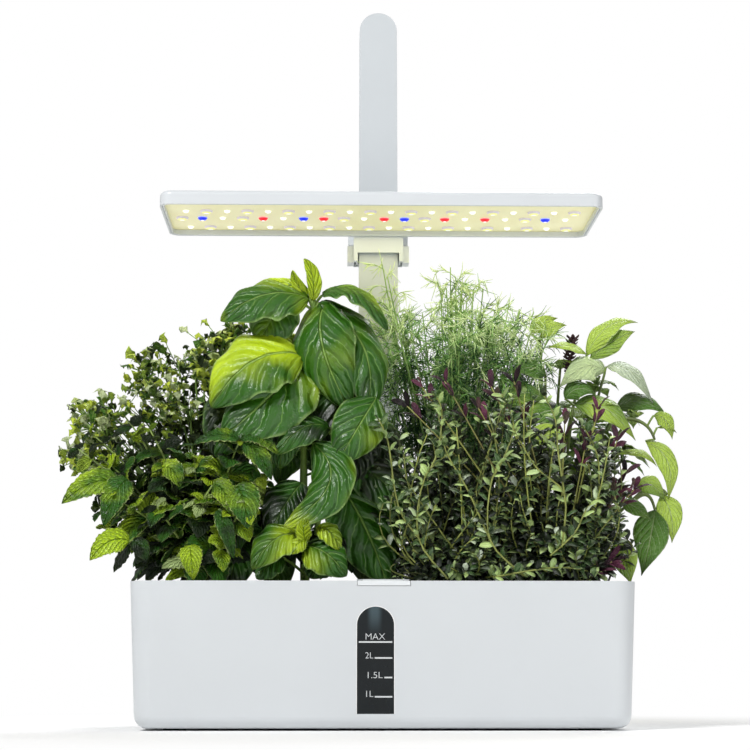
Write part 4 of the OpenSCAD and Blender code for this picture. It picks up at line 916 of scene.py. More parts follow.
def kept_clear(points):
    """Points pressed out of the flap's swing and the mast's slot, and kept inside the herbs' reach."""
    x, y, z = points.T / MM
    x = np.clip(x, *HERB_REACH)
    y = np.clip(y, *HERB_DEPTH)
    y = np.where(in_flap_swing(points / MM), FLAP_REAR + (y - FLAP_REAR) * FLAP_PRESS, y)
    behind = (np.abs(x) < MAST_HALF) & (y > MAST_FRONT)
    y = np.where(behind, MAST_FRONT, y)
    return np.stack((x, y, z), -1) * MM


def foliage(name, slot, finish, part):
    """One piece of a herb, kept out of the way of what moves."""
    return make_piece(name, "deck", slot, finish, kept_clear(part[0]), *part[1:])


def herb(name, node, slot, leaf, stem, leaves, stems):
    """The two pieces of one herb, its leaves and its stems; the leaves stand for the construction's node."""
    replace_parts(foliage(name + "_leaves", slot, leaf, leaves), node)
    foliage(name + "_stems", slot, stem, stems)


# --- Basil -----------------------------------------------------------------------------------------

# The large leaves at the front: base, bend and tip of the midrib, the way the upper side looks,
# half width, roundness of the section in radians, and the tint: the green's freshness together with
# painted light and shade.
BASIL_LEAVES = (
    ((-46, -35, 268), (-74, -50, 277), (-102, -48, 252), (-0.2, -0.8, 0.6), 18, 0.7, 0.5),
    ((-48, -30, 272), (-66, -34, 286), (-86, -34, 270), (0.0, -0.6, 0.8), 10, 0.5, 0.85),
    ((-62, -34, 270), (-70, -38, 254), (-78, -38, 240), (-0.1, -0.9, 0.3), 15, 0.5, 0.3),
    ((-38, -30, 271), (-14, -38, 285), (5, -38, 248), (0.35, -0.45, 0.8), 13, 0.5, 0.35),
    ((-44, -34, 267), (-41, -38, 282), (-49, -38, 294), (0.3, -0.9, 0.2), 4.5, -0.6, 1.0),
    ((-45, -33, 268), (-54, -36, 274), (-57, -40, 285), (-0.3, -0.8, 0.3), 3.5, -0.5, 1.0),
    ((-35, -28, 268), (-48, -66, 241), (-20, -47, 195), (-0.28, -0.92, 0.3), 20, 0.95, 0.42),
    ((-40, -33, 266), (1, -40, 242), (-9, -50, 196), (0.4, -0.85, 0.3), 19, 0.95, 0.4),
    ((-50, -40, 231), (-82, -62, 236), (-107, -54, 196), (-0.25, -0.85, 0.45), 23, 0.5, 0.72),
    ((-52, -38, 226), (-62, -62, 206), (-100, -58, 176), (0.0, -0.93, 0.35), 23, 0.6, 0.62),
    ((-4, -46, 203), (-14, -66, 185), (-28, -58, 161), (0.2, -0.95, 0.25), 15, 0.6, 0.5),
    ((-43, -52, 174), (-14, -71, 148), (-61, -69, 122), (-0.3, -0.9, 0.3), 14, 0.85, 0.62),
    ((-33, -48, 184), (-48, -62, 191), (-67, -58, 167), (-0.1, -0.8, 0.6), 11, 0.7, 0.4),
    ((-26, -34, 150), (-8, -40, 124), (3, -38, 89), (0.1, -0.97, 0.2), 20, 0.75, 0.35),
    ((-51, -58, 117), (-66, -70, 121), (-80, -68, 96), (-0.1, -0.8, 0.6), 12, 0.5, 0.55),
    ((-47, -58, 110), (-35, -72, 110), (-21, -64, 92), (0.1, -0.85, 0.5), 13, 0.55, 0.5),
    ((-40, -60, 121), (-31, -68, 122), (-25, -62, 107), (0.3, -0.8, 0.5), 7, 0.4, 0.85),
    ((-47, -64, 113), (-50, -69, 120), (-46, -71, 126), (0.0, -1.0, 0.2), 4.5, -0.7, 0.7),
    ((-47, -64, 113), (-53, -70, 112), (-56, -70, 105), (-0.2, -0.9, 0.4), 5, 0.6, 0.6),
    ((-68, -46, 200), (-88, -56, 190), (-104, -50, 166), (-0.1, -0.9, 0.4), 13, 0.5, 0.3),
    ((-50, -44, 150), (-60, -52, 138), (-70, -54, 118), (-0.2, -0.9, 0.2), 14, 0.5, 0.05),
    ((-30, -36, 216), (-24, -44, 200), (-30, -46, 172), (0.1, -0.95, 0.2), 14, 0.5, 0.1),
    ((-22, -34, 172), (-8, -44, 160), (2, -42, 136), (0.3, -0.9, 0.2), 13, 0.6, 0.15),
    ((-62, -50, 104), (-70, -58, 100), (-78, -56, 91), (-0.2, -0.8, 0.5), 8, 0.5, 0.15),
    ((-34, -50, 104), (-40, -58, 100), (-44, -60, 91), (0.0, -0.9, 0.4), 9, 0.5, 0.2),
)
BASIL_WIDER = 1.18                    # the large leaves against those half widths
BASIL_BLADE = {"fold": 0.1, "ribs": 5, "slant": 0.42, "waves": 3.0}
BASIL_OUTLINE = oval(0.42, 0.8)
BASIL_INNER = 30                      # leaves inside the front plant, painted dark as shade
BASIL_INNER_LOW = (-96, -36, 112)
BASIL_INNER_HIGH = (-8, -12, 222)
BASIL_REAR_LOW = (-84, 0, 92)         # the rear plant's leaves stay between these corners
BASIL_REAR_HIGH = (4, 46, 282)
TRUNK_RADII = np.linspace(2.6, 1.4, 24)[None]
LOW_TRUNK_RADII = np.linspace(2.2, 1.2, 16)[None]


def basil_whorls(rng, axis, levels, count, sizes):
    """Leaves in turns round a stem: at each level count of them, as long as its size, lean out and hang."""
    base, bend, tip, face, size = [], [], [], [], []
    for level, (share, length) in enumerate(zip(levels, sizes)):
        root = axis[int(share * (len(axis) - 1))]
        turn = np.linspace(0, 2 * math.pi, count, endpoint=False) + level * 0.9 + rng.normal(0, 0.2, count)
        away = np.stack((np.cos(turn), np.sin(turn), np.zeros(count)), -1)
        long = length * rng.uniform(0.8, 1.1, (count, 1))
        start = root + away * long * 0.25 + UP * long * 0.15
        base.append(start)
        bend.append(start + away * long * 0.6 + UP * long * 0.22)
        tip.append(start + away * long * 0.95 - UP * long * rng.uniform(0.2, 0.55, (count, 1)))
        face.append(unit(away * 0.5 + UP + rng.normal(0, 0.12, away.shape)))
        size.append(long[:, 0])
    return [np.concatenate(item) for item in (base, bend, tip, face, size)]


def grow_basil_front(leaf, stem):
    """The front basil: large leaves hanging one over another, ones inside painted dark as shade, and whorls
    behind.
    """
    rng = np.random.default_rng(11)
    base, bend, tip, face, half_width, bow, fresh = columns_of(BASIL_LEAVES)
    large = blades(base, bend, tip, face, half_width * BASIL_WIDER, 44, 20, BASIL_OUTLINE, arch=bow,
                   blister=1.5, ruffle=0.09, curl=-2.0, thick=0.35, tint=fresh, rng=rng, **BASIL_BLADE)
    foot = [-POD_X[0], POD_FRONT, DECK_TOP]
    trunk = arc(foot, [-52, -24, 190], [-43, -33, 268], 24)[0]
    low_trunk = arc(foot, [-38, -40, 130], [-30, -36, 186], 16)[0]
    inner = scattered(rng, BASIL_INNER_LOW, BASIL_INNER_HIGH, BASIL_INNER)
    inner_tip = inner + rng.normal(0, 1, inner.shape) * (16, 6, 6) + (0, -8, -34)
    inner_bend = (inner + inner_tip) / 2 + (0, -10, 12)
    inner_face = OUT + UP * 0.4 + rng.normal(0, 0.3, inner.shape)
    # the inner leaves and their stalks get low tints: painted shade inside the plant
    dark = blades(inner, inner_bend, inner_tip, inner_face, rng.uniform(11, 16, len(inner)), 16, 8,
                  BASIL_OUTLINE, arch=0.5, blister=0.8, ruffle=0.08, thick=0.3,
                  tint=rng.uniform(-0.3, 0.15, len(inner)), rng=rng, **BASIL_BLADE)
    back = basil_whorls(rng, trunk, (0.45, 0.65, 0.85), 4, (46, 44, 36))
    rear = back[0][:, 1] > trunk[0, 1] + 4
    back = [item[rear] for item in back]
    behind = blades(*back[:4], back[4] * 0.34, 22, 10, BASIL_OUTLINE, arch=0.6, blister=0.9, ruffle=0.08,
                    thick=0.35, tint=rng.uniform(0.1, 0.6, len(back[4])), rng=rng, **BASIL_BLADE)
    stems = join(rods(trunk[None], TRUNK_RADII), rods(low_trunk[None], LOW_TRUNK_RADII),
                 stalks(np.concatenate((trunk, low_trunk)), base, 10, 0.9, 0.6),
                 stalks(trunk, inner, 10, 0.8, 0.1), stalks(trunk, back[0], 6, 0.9, 0.6))
    herb("basil_front", "basil_front", "basil_leaf", leaf, stem, join(large, dark, behind), stems)


def grow_basil_rear(leaf, stem):
    """The rear basil: whorls of leaves up one stem, with a crown of young ones."""
    rng = np.random.default_rng(12)
    axis = arc([-POD_X[0], POD_REAR, DECK_TOP], [-52, 22, 180], [-44, 20, 250], 24)[0]
    whorls = basil_whorls(rng, axis, (0.18, 0.34, 0.5, 0.64, 0.78, 0.9), 5, (36, 42, 46, 44, 38, 28))
    whorls[:3] = [np.clip(item, BASIL_REAR_LOW, BASIL_REAR_HIGH) for item in whorls[:3]]
    crown = basil_whorls(rng, axis, (0.99,), 4, (16,))
    crown[2] = crown[2] + UP * 14
    leaves = blades(*whorls[:4], whorls[4] * 0.36, 22, 10, BASIL_OUTLINE, arch=0.65, blister=1.0, ruffle=0.09,
                    thick=0.35, tint=rng.uniform(0.15, 0.7, len(whorls[4])), rng=rng, **BASIL_BLADE)
    young = blades(*crown[:4], crown[4] * 0.32, 12, 8, BASIL_OUTLINE, arch=-0.4, fold=0.3, tint=0.95, rng=rng)
    stems = join(rods(axis[None], TRUNK_RADII), stalks(axis, whorls[0], 8, 0.9, 0.6),
                 stalks(axis, crown[0], 3, 0.7, 0.9))
    herb("basil_rear", "basil_rear", "basil_leaf", leaf, stem, join(leaves, young), stems)


def grow_basil():
    """Two basil plants with broad, domed, blistered leaves; the front one is the tallest herb."""
    leaf = leaf_finish("basil_leaf", paint(46, 100, 14), paint(204, 232, 36), paint(150, 190, 90), ribs=5.0,
                       slant=0.42, blister=0.0022, gloss=0.3, rib_width=0.04, edge=paint(160, 194, 112),
                       patches=1.7, shine=0.6, cloud=24.0, pores=0.04, pale_under=0.15)
    stem = stem_finish("basil_stem", paint(150, 180, 80), paint(70, 104, 36))
    grow_basil_front(leaf, stem)
    grow_basil_rear(leaf, stem)


# --- Mint ------------------------------------------------------------------------------------------

MINT_TIPS = ((-190, -35, 172), (-166, -52, 140), (-162, -30, 194), (-145, -40, 184), (-135, -48, 160),
             (-117, -40, 166), (-110, -56, 138), (-104, -42, 160), (-88, -56, 175), (-84, -62, 137),
             (-94, -62, 112), (-118, -62, 104), (-138, -56, 134), (-96, -48, 150), (-184, -22, 184),
             (-128, -30, 178), (-176, -20, 160), (-150, -14, 180), (-112, -16, 172), (-170, -10, 140))
# Single leaves that stand out at the rim: base, bend, tip, face, half width, roundness, and a tint of
# freshness together with painted light and shade.
MINT_LEAVES = (
    ((-162, -50, 150), (-178, -56, 154), (-196, -55, 136), (-0.1, -0.9, 0.4), 10, 0.3, 0.62),
    ((-156, -52, 151), (-163, -60, 148), (-170, -58, 122), (-0.1, -0.95, 0.3), 10, 0.4, 0.5),
    ((-154, -58, 113), (-166, -64, 118), (-177, -64, 101), (-0.2, -0.9, 0.4), 10, 0.5, 1.0),
    ((-152, -60, 113), (-146, -64, 112), (-143, -62, 100), (0.2, -0.9, 0.3), 6, 0.4, 0.1),
    ((-117, -64, 110), (-116, -70, 106), (-114, -70, 89), (0.0, -0.95, 0.3), 7.5, 0.3, 0.95),
    ((-104, -60, 147), (-96, -66, 148), (-92, -66, 129), (0.1, -0.95, 0.3), 8, 0.4, 0.6),
    ((-90, -60, 147), (-84, -66, 142), (-82, -68, 120), (0.1, -0.95, 0.3), 12, 0.4, 0.55),
    ((-86, -60, 172), (-76, -64, 172), (-68, -62, 150), (0.2, -0.9, 0.4), 8, 0.4, 0.35),
    ((-88, -60, 175), (-100, -62, 182), (-116, -60, 172), (-0.1, -0.7, 0.7), 7, 0.3, 0.4),
    ((-88, -60, 175), (-78, -60, 184), (-64, -58, 166), (0.1, -0.7, 0.7), 8, 0.3, 0.3),
    ((-136, -50, 158), (-128, -56, 162), (-124, -56, 146), (0.1, -0.9, 0.4), 8, 0.4, 0.7),
    ((-100, -62, 132), (-96, -66, 124), (-90, -68, 102), (0.3, -0.9, 0.3), 6, 0.3, 0.3),
)
MINT_INNER = 16                       # shorter stems inside
MINT_INNER_LOW = (-178, -46, 112)
MINT_INNER_HIGH = (-70, -8, 170)
MINT_SHARES = (0.3, 0.45, 0.58, 0.7, 0.81, 0.91, 0.99)    # where along a stem its leaf pairs stand
MINT_LENGTHS = (19, 22, 24, 23, 20, 15, 10)
MINT_BLADE = {"ribs": 6, "slant": 0.5, "ruffle": 0.08}


def grow_mint():
    """Mint that spills over the left end: arching stems with pairs of toothed, strongly veined leaves."""
    leaf = leaf_finish("mint_leaf", paint(50, 110, 16), paint(202, 238, 44), paint(96, 134, 34), ribs=6.0,
                       slant=0.5, blister=0.0024, gloss=0.34, rib_width=0.08, net=500.0,
                       edge=paint(226, 242, 150), patches=1.8, shine=0.5, pale_under=0.08, pores=0.1)
    stem = stem_finish("mint_stem", paint(168, 194, 96), paint(60, 84, 32))
    rng = np.random.default_rng(21)
    pod = (-POD_X[1], POD_FRONT)
    tips = np.array(MINT_TIPS, float)
    start, middle = stems_from(pod, tips, rng)
    inner = scattered(rng, MINT_INNER_LOW, MINT_INNER_HIGH, MINT_INNER)
    inner_start, inner_middle = stems_from(pod, inner, rng)
    tips, start, middle = (np.concatenate(pair) for pair in (
        (tips, inner), (start, inner_start), (middle, inner_middle)))
    base, bend, tip, face, size, share = pairs_along(start, middle, tips, MINT_SHARES, MINT_LENGTHS, rng,
                                                     sag=0.22)
    # tint: lighter higher up a stem, with random spread, and darker farther back as painted shade
    fresh = np.clip(0.26 + 0.5 * share + rng.normal(0, 0.42, len(size)) - 0.02 * (base[:, 1] + 50), -0.3, 1.3)
    outline = oval(0.4, 0.7)
    face = unit(face + OUT * 0.55 + rng.normal(0, 0.3, face.shape))
    many = blades(base, bend, tip, face, size * 0.37, 12, 6, outline, arch=rng.uniform(0.0, 0.9, len(size)),
                  fold=rng.uniform(0, 0.35, len(size)), blister=0.8, tooth=0.11, tint=fresh, rng=rng,
                  **MINT_BLADE)
    rim = columns_of(MINT_LEAVES)
    few = blades(*rim[:5], 24, 12, outline, arch=rim[5], fold=0.2, blister=1.4, tooth=0.09, tint=rim[6],
                 rng=rng, **MINT_BLADE)
    routes = arc(start, middle, tips, 14)
    # the stems' tint falls farther back: painted shade
    stems = join(rods(routes, np.linspace(1.5, 0.45, 14)[None], tint=0.9 - 0.012 * (tips[:, 1] + 60)),
                 stalks(routes.reshape(-1, 3), rim[0], 3, 0.6, 0.6))
    herb("mint", "mint", "mint_leaf", leaf, stem, join(many, few), stems)


# --- Parsley ---------------------------------------------------------------------------------------

PARSLEY_TIPS = ((-191, 4, 199), (-183, 10, 203), (-175, 6, 201), (-161, 15, 221), (-154, 20, 233),
                (-145, 22, 235), (-133, 18, 236), (-122, 22, 234), (-115, 15, 227), (-150, 10, 217),
                (-134, 8, 212), (-109, 25, 235), (-99, 30, 233), (-123, 2, 201), (-140, 4, 198),
                (-176, 8, 190), (-156, 6, 200), (-98, 20, 207), (-178, 30, 176), (-160, 36, 186),
                (-120, 40, 196), (-96, 38, 190), (-140, 30, 190), (-168, 18, 160), (-110, 38, 160),
                (-136, 40, 150), (-189, -6, 192), (-187, -6, 178), (-179, -8, 182), (-108, 8, 223),
                (-96, 14, 229), (-190, -10, 168),
                (-110, 24, 250), (-101, 28, 254), (-94, 30, 256), (-103, 20, 244), (-196, -8, 172))
PARSLEY_LEAFLETS = 28                 # a stalk
PARSLEY_SPREAD = (5.0, 5.0, 4.5)      # their scatter round its tip
PARSLEY_LOWER = 0.3                   # share of them that sit lower on the stalk
PARSLEY_LOWER_BY = (10, 45)
PARSLEY_SHEEN_SHARE = 0.09                   # share of them that get a painted sheen
# how far their tint is raised into the painted sheen
PARSLEY_SHEEN_LIFT = 0.7


def fan(u):
    """A leaflet's outline: 0.12 + 1.1 u^0.8, at most 1, rounded off at the tip by sqrt(1 - u^5)."""
    return np.clip(0.12 + 1.1 * u ** 0.8, 0, 1) * np.sqrt(np.clip(1.0001 - u ** 5, 0, 1))


def grow_parsley():
    """Curly parsley: upright stalks, each with a cluster of small, deeply curled leaflets."""
    leaf = leaf_finish("parsley_leaf", paint(52, 118, 16), paint(222, 242, 70), paint(206, 224, 126),
                       ribs=5.0, slant=0.6, blister=0.0006, gloss=0.34, rib_width=0.08,
                       edge=paint(214, 232, 150), patches=1.2, shine=0.35, painted_leaf_sheen=(228, 242, 196),
                       pale_under=0.08)
    stem = stem_finish("parsley_stem", paint(160, 192, 100), paint(90, 130, 50))
    rng = np.random.default_rng(31)
    tips = np.array(PARSLEY_TIPS, float)
    start, middle = stems_from((-POD_X[1], POD_REAR), tips, rng, reach=0.25, climb=0.6)
    host = np.repeat(np.arange(len(tips)), PARSLEY_LEAFLETS)
    count = len(host)
    end = tips[host]
    along = unit(tips - middle)[host]
    lower = np.where(rng.uniform(0, 1, count) < PARSLEY_LOWER, 1.0, 0.0)[:, None]
    back = lower * rng.uniform(*PARSLEY_LOWER_BY, (count, 1))
    root = end - along * back + rng.normal(0, 1, (count, 3)) * PARSLEY_SPREAD
    away = unit(root - end + UP * 4 + rng.normal(0, 4, root.shape))
    length = rng.uniform(5, 9, (count, 1))
    base = root - away * length * 0.3
    tip = base + away * length
    bend = base + away * length * 0.5 + UP * length * 0.3
    face = unit(UP + OUT * 0.5 + rng.normal(0, 0.6, root.shape))
    # painted light and shade: lighter high in a cluster, towards the front and at the far left, darker on
    # leaflets lower on the stalk
    lit = 0.7 + 0.04 * (root - end)[:, 2] - 0.014 * root[:, 1] + 0.006 * np.maximum(-150 - root[:, 0], 0)
    fresh = lit + rng.normal(0, 0.7, count) - 0.04 * back[:, 0]
    fresh = fresh + np.where(rng.uniform(0, 1, count) < PARSLEY_SHEEN_SHARE, PARSLEY_SHEEN_LIFT, 0.0)
    leaflets = blades(base, bend, tip, face, length[:, 0] * 0.62, 5, 6, fan,
                      arch=rng.uniform(0.2, 1.3, count), ruffle=0.8, waves=1.7, tooth=0.3, tint=fresh,
                      rng=rng)
    routes = arc(start, middle, tips, 12)
    twigs = arc(end - along * (back + 6), root, base, 4)
    stems = join(rods(routes, np.linspace(1.1, 0.5, 12)[None], tint=0.6), rods(twigs, 0.3, 4, 0.5))
    herb("parsley", "parsley", "parsley_leaf", leaf, stem, leaflets, stems)


# --- Dill ------------------------------------------------------------------------------------------

# Tips of the stalks that stand over the dome of the others.
DILL_PLUMES = ((2, 18, 300), (5, 12, 292), (47, 18, 300), (50, 12, 292), (92, 12, 268), (104, 6, 246))
DILL_MIDDLE = (53.0, 16.0)            # middle of the dome
DILL_REACH = (59.0, 27.0)             # its half width and half depth
DILL_LEVELS = ((198.0, 230.0, 12), (230.0, 264.0, 20), (252.0, 287.0, 32))    # low edge, top, stalks
DILL_BRANCHES = 15                    # a stalk
DILL_NEEDLES = 9                      # a branch
DILL_CEILING = 300.0
DILL_PALE_FROM = 206.0                # height from which the green gets paler
DILL_PALE_OVER = 72.0                 # and over how much height


def dill_finish():
    """Dill's needles: from dark green over a lighter green to pale, by their tint, which rises with height,
    with soft clouds.
    """
    finish = Finish("dill_leaf", roughness=0.5)
    share = (finish.attribute("tint") + finish.noise(120.0, 2.0) * 0.5 - 0.25).clipped()
    green = finish.blend(share.between(0.0, 0.55), paint(26, 70, 26), paint(124, 176, 84))
    finish.feed("Base Color", finish.blend(share.between(0.45, 0.9), green, paint(214, 232, 168)))
    finish.relief(finish.noise(1800.0, 2.0), 0.0001)
    return finish.material


def dill_tips(rng):
    """Tips of the stalks: the plumes, and at each level a dome, its top - (top - low) * r^2 high at r."""
    layers = [np.array(DILL_PLUMES, float)]
    for low, top, number in DILL_LEVELS:
        ring = np.sqrt(rng.uniform(0, 1, number))
        turn = rng.uniform(0, 2 * math.pi, number)
        layers.append(np.stack((DILL_MIDDLE[0] + DILL_REACH[0] * ring * np.cos(turn),
                                DILL_MIDDLE[1] + DILL_REACH[1] * ring * np.sin(turn),
                                top - (top - low) * ring ** 2), -1))
    return np.concatenate(layers)


def grow_dill():
    """Dill: branching stalks with feathery tufts of hair-thin, curved needles, pale at the top."""
    leaf = dill_finish()
    stem = stem_finish("dill_stem", paint(170, 196, 120), paint(110, 150, 70))
    rng = np.random.default_rng(41)
    tips = dill_tips(rng)
    start, middle = stems_from((POD_X[0], POD_REAR), tips, rng, reach=0.5, climb=0.5)
    stalk = np.repeat(np.arange(len(tips)), DILL_BRANCHES)
    count = len(stalk)
    t = (1 - 0.55 * rng.uniform(0, 1, count) ** 1.2)[:, None]
    root, along = on_parabola(start[stalk], middle[stalk], tips[stalk], t)
    away = unit(rng.normal(0, 1, (count, 3)) + along * 0.8)
    length = rng.uniform(14, 34, (count, 1)) * (1.3 - 0.75 * t)
    tip = root + away * length - UP * length * rng.uniform(0.0, 0.7, (count, 1))
    bend = root + away * length * 0.6 + UP * length * 0.3
    lift = np.minimum(DILL_CEILING - tip[:, 2:], 0)
    tip[:, 2:] += lift
    bend[:, 2:] += lift
    tone = np.clip((root[:, 2] - DILL_PALE_FROM) / DILL_PALE_OVER + rng.normal(0, 0.3, count), 0, 1)
    branches = rods(arc(root, bend, tip, 5), np.array([0.34, 0.3, 0.27, 0.22, 0.12])[None], 4, tone)
    host = np.repeat(np.arange(count), DILL_NEEDLES)
    t = rng.uniform(0.2, 0.98, (len(host), 1))
    foot, ahead = on_parabola(root[host], bend[host], tip[host], t)
    aside = unit(ahead + rng.normal(0, 0.75, ahead.shape))
    reach = rng.uniform(5, 13, (len(host), 1))
    end = foot + aside * reach
    over = foot + unit(aside + ahead * 0.6) * reach * 0.55
    needles = rods(arc(foot, over, end, 3), np.array([0.28, 0.24, 0.12])[None], 4,
                   np.clip(tone[host] + rng.normal(0, 0.12, len(host)), 0, 1))
    routes = arc(start, middle, tips, 16)
    stems = rods(routes, np.linspace(1.2, 0.35, 16)[None], tint=0.4)
    herb("dill", "dill", "dill_leaf", leaf, stem, needles, join(branches, stems))


# --- Thyme -----------------------------------------------------------------------------------------

THYME_LOW = (0, -66, 92)
THYME_HIGH = (146, -8, 208)
THYME_STEMS = 214
THYME_CREEPERS = 45                   # low stems that cover the deck between the pods
THYME_CREEP_LOW = (40, -66, 92)
THYME_CREEP_HIGH = (130, -10, 120)
THYME_INNER = 130                     # stems inside the bush, painted dark as shade
THYME_INNER_LOW = (26, -40, 92)
THYME_INNER_HIGH = (140, -8, 188)
THYME_LEAF = 0.24                     # half width of a leaf against its length
THYME_OUTLINE = oval(0.45, 0.9)
# Long branching sprigs at the front, each by the points it passes from its foot to its tip.
THYME_SPRIGS = (
    ((39, -66, 90), (21, -68, 115), (25, -68, 151), (41, -66, 167)),
    ((21, -68, 115), (9, -66, 134), (3, -64, 173), (-3, -62, 188)),
    ((25, -68, 151), (33, -66, 167), (36, -62, 193), (31, -60, 204)),
    ((85, -66, 92), (64, -70, 114), (66, -70, 151), (78, -66, 167)),
    ((64, -70, 114), (51, -68, 144), (38, -66, 168), (34, -60, 191)),
    ((66, -70, 151), (75, -66, 167), (80, -62, 185), (73, -60, 204)),
    ((108, -66, 109), (110, -68, 141), (93, -66, 158), (80, -62, 182)),
    ((110, -68, 141), (107, -64, 167), (106, -60, 188), (99, -58, 204)),
    ((132, -56, 110), (133, -56, 146), (132, -54, 168), (123, -52, 187)),
    ((66, -68, 91), (89, -70, 95), (108, -68, 97), (125, -62, 95)),
    ((101, -66, 104), (116, -66, 118), (125, -62, 134), (139, -56, 145)),
    ((12, -66, 111), (15, -66, 124), (21, -66, 129), (22, -64, 138)),
)


def thyme_bush(rng, tips, shares, length, tone, shine):
    """The leaves and stems of a bush: wiry stems from the two pods out to tips, with pairs of leaves.

    tone is the tint of a leaf at the bottom of the front, and shine how much the tint rises higher up:
    painted light towards the top, with painted shade towards the back.
    """
    near = np.where(tips[:, 0] < sum(POD_X) / 2, POD_X[0], POD_X[1])
    start = np.stack((near, np.full(len(tips), POD_FRONT), np.full(len(tips), DECK_TOP)), -1)
    start = start + rng.normal(0, 1, tips.shape) * (10, 7, 0)
    middle = start + (tips - start) * (0.9, 0.9, 0.45) + rng.normal(0, 13, tips.shape) * (1, 0.7, 0.4)
    middle[:, 2] = np.maximum(middle[:, 2], DECK_TOP + 6)
    pairs = pairs_along(start, middle, tips, shares, length, rng, spread=0.8, ahead=0.5, sag=0.1, jitter=0.4)
    free = ~(in_flap_swing(pairs[0]) | in_flap_swing(pairs[2]))
    base, bend, tip, face, size, _ = (item[free] for item in pairs)
    # painted light and shade: lighter higher up, darker farther back
    lit = tone + shine * (base[:, 2] - 90) / 110 - 0.018 * (base[:, 1] + 54)
    leaves = blades(base, bend, tip, unit(face + OUT * 0.6), size * THYME_LEAF, 3, 1, THYME_OUTLINE,
                    thick=0.3, tint=lit + rng.normal(0, 0.7, len(size)), rng=rng)
    # stems darker farther back: painted shade
    stems = rods(arc(start, middle, tips, 10), np.linspace(0.65, 0.3, 10)[None], 4,
                 rng.uniform(0.0, 0.7, len(tips)) - 0.03 * (tips[:, 1] + 52))
    return leaves, stems


def thyme_tips(rng):
    """Tips of the bush's stems: scattered in a box, lower towards its ends by a parabola, and creepers."""
    tips = scattered(rng, THYME_LOW, THYME_HIGH, THYME_STEMS)
    middle_x = (THYME_LOW[0] + THYME_HIGH[0]) / 2
    crown = 1 - ((tips[:, 0] - middle_x) / (middle_x * 1.25)) ** 2
    tips[:, 2] = THYME_LOW[2] + (tips[:, 2] - THYME_LOW[2]) * (0.5 + 0.5 * crown)
    return np.concatenate((tips, scattered(rng, THYME_CREEP_LOW, THYME_CREEP_HIGH, THYME_CREEPERS)))


def thyme_sprigs(rng):
    """The leaves and stems of the long sprigs: every second point of a smooth path starts a short arc of it,
    and pairs of leaves stand along each arc.
    """
    path = through(np.array(THYME_SPRIGS, float), 13)
    first, centre, last = (path[:, place].reshape(-1, 3) for place in (
        slice(0, -1, 2), slice(1, None, 2), slice(2, None, 2)))
    control = 2 * centre - (first + last) / 2
    base, bend, tip, face, size, _ = pairs_along(first, control, last, (0.2, 0.7), 8.5, rng, spread=0.8,
                                                 ahead=0.5, sag=0.05, jitter=0.5)
    leaves = blades(base, bend, tip, unit(face + OUT * 0.9), size * THYME_LEAF, 6, 2, THYME_OUTLINE,
                    arch=0.3, thick=0.3, tint=rng.normal(0.5, 0.4, len(size)), rng=rng)
    return leaves, rods(path, np.linspace(0.65, 0.35, 13)[None], 6, 0.5)


def grow_thyme():
    """Thyme: a dense bush of wiry stems with pairs of tiny leaves, dark green and painted darker inside as
    shade, and longer sprigs in front.
    """
    leaf = leaf_finish("thyme_leaf", paint(38, 78, 22), paint(204, 232, 142), paint(170, 190, 136), ribs=2.0,
                       slant=0.3, blister=0.0002, gloss=0.34, rib_width=0.05, glow=0.06, net=900.0,
                       edge=paint(196, 214, 176), patches=0.8, shine=0.6, pale_under=0.1)
    stem = stem_finish("thyme_stem", paint(186, 196, 100), paint(38, 46, 18))
    rng = np.random.default_rng(51)
    tips = thyme_tips(rng)
    shares = np.linspace(0.16, 1.0, 12)
    length = np.interp(shares, (0.16, 0.7, 1.0), (8.5, 9.0, 7.0))
    leaves, stems = thyme_bush(rng, tips, shares, length, 0.1, 0.4)
    sprig_leaves, sprigs = thyme_sprigs(rng)
    herb("thyme", "thyme", "thyme_leaf", leaf, stem, join(leaves, sprig_leaves), join(stems, sprigs))
    inner = scattered(rng, THYME_INNER_LOW, THYME_INNER_HIGH, THYME_INNER)
    # tone -0.2: the inner leaves are painted shade
    dark_leaves, dark_stems = thyme_bush(rng, inner, np.linspace(0.2, 1.0, 10), 10.0, -0.2, 0.15)
    foliage("thyme_inner_leaves", "thyme_leaf", leaf, dark_leaves)
    foliage("thyme_inner_stems", "thyme_leaf", stem, dark_stems)


# --- Purple basil ----------------------------------------------------------------------------------

PURPLE_TIPS = ((24, -56, 209), (38, -58, 212), (15, -54, 197), (67, -56, 209), (81, -58, 212), (59, -54, 196),
               (152, -40, 157), (146, -46, 144), (157, -40, 147), (140, -56, 101), (131, -58, 95),
               (112, -58, 186), (126, -54, 176), (134, -50, 196), (150, -20, 180))


